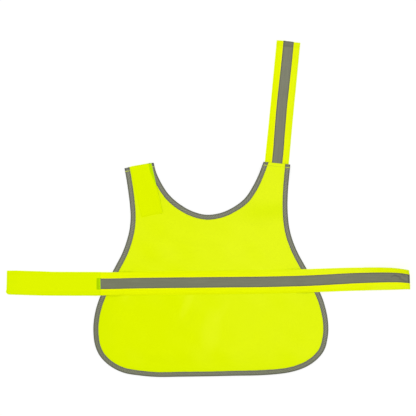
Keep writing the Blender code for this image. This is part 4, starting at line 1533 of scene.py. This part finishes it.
def make_stitches(panel, side, neck, belt, strap, patch):
    """All the seams that show, each run one piece."""
    bindings = (("side", side, SIDE_LINE, SIDE_INWARD), ("neck", neck, NECK_LINE, NECK_INWARD))
    sewn = sew_bindings(bindings)
    left = BELT_LEFT_X + 2.0 * SEAM_FROM_END
    patch_rows = left, BELT_LOOP_RIGHT_X - PATCH_STITCH
    sewn += sew_ribbon("belt", belt, (left, BELT_LOOP_RIGHT_X + 1.0), BELT_HEM, BELT_UPPER_HEM, patch_rows)
    sewn += sew_ribbon("strap", strap, (3.0, 2.0), STRAP_HEM, STRAP_UPPER_HEM)

    to_side = SHOULDER_PATCH_RIGHT * (SHOULDER_PATCH_WIDTH / 2.0 - PATCH_STITCH)
    to_end = SHOULDER_PATCH_UP * (SHOULDER_PATCH_LENGTH / 2.0 - PATCH_STITCH)
    corners = ((-1, 1), (-1, -1), (1, -1), (1, 1))
    frame_route = [SHOULDER_PATCH_CENTRE + to_side * i + to_end * j for i, j in corners]
    sewn.append(sew("shoulder_patch_stitches", [frame_route], [patch], YELLOW_THREAD))
    cloths = [panel, side, neck, patch]
    left_row = cut_row(SIDE_LINE[0], NECK_LINE[0], LEFT_SHOULDER_STITCH)
    right_row = cut_row(NECK_LINE[-1], SIDE_LINE[-1], SHOULDER_STITCH)
    sewn.append(sew("left_shoulder_stitches", [left_row], cloths, BRIGHT_THREAD))
    sewn.append(sew("right_shoulder_stitches", [right_row], cloths, OLIVE_THREAD))
    tacks = []
    for start, end in (left_row, right_row):
        tack = unit(end - start) * (BINDING_WIDTH - 0.8)
        tacks += [zigzag(start, start + tack), zigzag(end - tack, end)]
    sewn.append(sew("shoulder_tacks", tacks, cloths, BRIGHT_THREAD, pitch=0.0))
    return sewn


panel = make_panel()
side = make_binding(
    "side_and_hem_binding_tape", SIDE_LINE, SIDE_INWARD, 1.0, SIDE_EXTRA_WIDTH, SIDE_CORNER
)
neck = make_binding(
    "neck_binding_tape", NECK_LINE, NECK_INWARD, -1.0, NECK_EXTRA_WIDTH, NECK_CORNER
)
belt = make_belt()
strap = make_neck_strap()
patch = make_shoulder_patch()
stitches = make_stitches(panel, side, neck, belt, strap, patch)


def binding_size(line, extra_width):
    """Flat width and length of a binding's tape."""
    along = travelled(line)
    wider = by_table(extra_width, along).mean() / BINDING_WIDTH
    return travelled(binding_section())[-1] * (1.0 + wider), along[-1]


belt_size = RIBBON_WIDTH, BELT_RIGHT_X - BELT_LEFT_X
belt_stripe_size = STRIPE_WIDTH, BELT_RIGHT_X - BELT_STRIPE_LEFT_X
belt_loop_size = RIBBON_WIDTH, BELT_LOOP_RIGHT_X - BELT_LEFT_X
belt_hook_size = RIBBON_WIDTH, BELT_RIGHT_X - BELT_HOOK_LEFT_X
strap_length = np.linalg.norm(STRAP_TOP - STRAP_FOOT)
strap_size = RIBBON_WIDTH, strap_length + STRAP_TUCK
strap_stripe_size = STRIPE_WIDTH, strap_length
strap_hook_size = RIBBON_WIDTH, NECK_HOOK_LENGTH
side_size = binding_size(SIDE_LINE, SIDE_EXTRA_WIDTH)
neck_size = binding_size(NECK_LINE, NECK_EXTRA_WIDTH)
panel_size = OUTLINE.max(axis=0) - OUTLINE.min(axis=0)
patch_size = SHOULDER_PATCH_WIDTH, SHOULDER_PATCH_LENGTH
on_belt = belt[2]
on_strap = strap[2]

# Piece, its node, its material slot, its flat width and length, and what it lies on
SHEETS = (
    (panel, "body_panel", "panel_cloth", panel_size, ["floor"]),
    (side, "side_and_hem_binding", "reflective_binding", side_size, [panel]),
    (neck, "neck_binding", "reflective_binding", neck_size, [panel]),
    (on_belt["ribbon"], "belt_ribbon", "ribbon", belt_size, [panel, side]),
    (on_belt["stripe"], "belt_stripe", "reflective_stripe", belt_stripe_size, [on_belt["ribbon"]]),
    (on_belt["loop"], "belt_loop_patch", "loop_tape", belt_loop_size, [on_belt["ribbon"]]),
    (on_belt["hook"], "belt_hook_patch", "hook_tape", belt_hook_size, ["floor"]),
    (on_strap["ribbon"], "neck_strap_ribbon", "ribbon", strap_size, ["floor"]),
    (on_strap["stripe"], "neck_strap_stripe", "reflective_stripe", strap_stripe_size, [on_strap["ribbon"]]),
    (on_strap["hook"], "neck_hook_patch", "hook_tape", strap_hook_size, ["floor"]),
    (patch, "shoulder_loop_patch", "loop_tape", patch_size, [panel, neck]),
)

for piece, node, slot, flat, rests_on in SHEETS:
    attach(piece, "root")
    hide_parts(node)
for piece in stitches:
    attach(piece, "root")


def make_floor():
    """A pale floor, lit a little from below as a product table is."""
    clear_selection()
    bpy.ops.mesh.primitive_plane_add(size=FLOOR_SIZE, location=(0.0, 0.0, 0.0))
    floor = bpy.context.object
    floor.name = "floor"
    for vertex in floor.data.vertices:
        vertex.co.z = -FLOOR_BELOW * MM
    material, tree, shader = new_material("pale_floor", roughness=0.9, specular=0.05)
    speckle = tree.nodes.new("ShaderNodeTexCoord").outputs["Object"]
    tone = remap(tree, noise(tree, speckle, 900.0, 2.0), 0.2, 0.8, 0.985, 1.0)
    plug(tree, shader.inputs["Base Color"], shaded(tree, FLOOR_GREY, tone))
    shader.inputs["Emission Color"].default_value = WHITE
    shader.inputs["Emission Strength"].default_value = FLOOR_GLOW
    floor.data.materials.append(material)


def add_sun(name, turn, strength, angle):
    data = bpy.data.lights.new(name, "SUN")
    data.energy = strength
    data.angle = math.radians(angle)
    add_object(name, data).rotation_euler = [math.radians(value) for value in turn]


def light_and_view():
    """Even studio light, the softest of it from above the neck, and a camera straight above."""
    world = bpy.data.worlds.new("studio")
    world.use_nodes = True
    background = world.node_tree.nodes["Background"]
    background.inputs["Color"].default_value = WHITE
    seen = world.node_tree.nodes.new("ShaderNodeLightPath").outputs["Is Camera Ray"]
    strength = remap(world.node_tree, seen, 0.0, 1.0, STUDIO_LIGHT, 1.0)
    plug(world.node_tree, background.inputs["Strength"], strength)
    add_sun("softbox_above_neck", turn=(-33.0, 0.0, 14.0), strength=0.69, angle=50.0)
    add_sun("softbox_right", turn=(12.0, 30.0, 0.0), strength=0.14, angle=60.0)
    data = bpy.data.cameras.new("camera")
    data.lens = VIEW_LENS
    data.sensor_width = VIEW_SENSOR
    camera = add_object("camera", data)
    camera.location = [value * MM for value in (*VIEW_CENTRE, VIEW_HEIGHT)]
    scene = bpy.context.scene
    scene.world = world
    scene.camera = camera
    scene.view_settings.view_transform = "Standard"
    scene.view_settings.look = "None"


make_floor()
light_and_view()

bpy.context.view_layer.update()
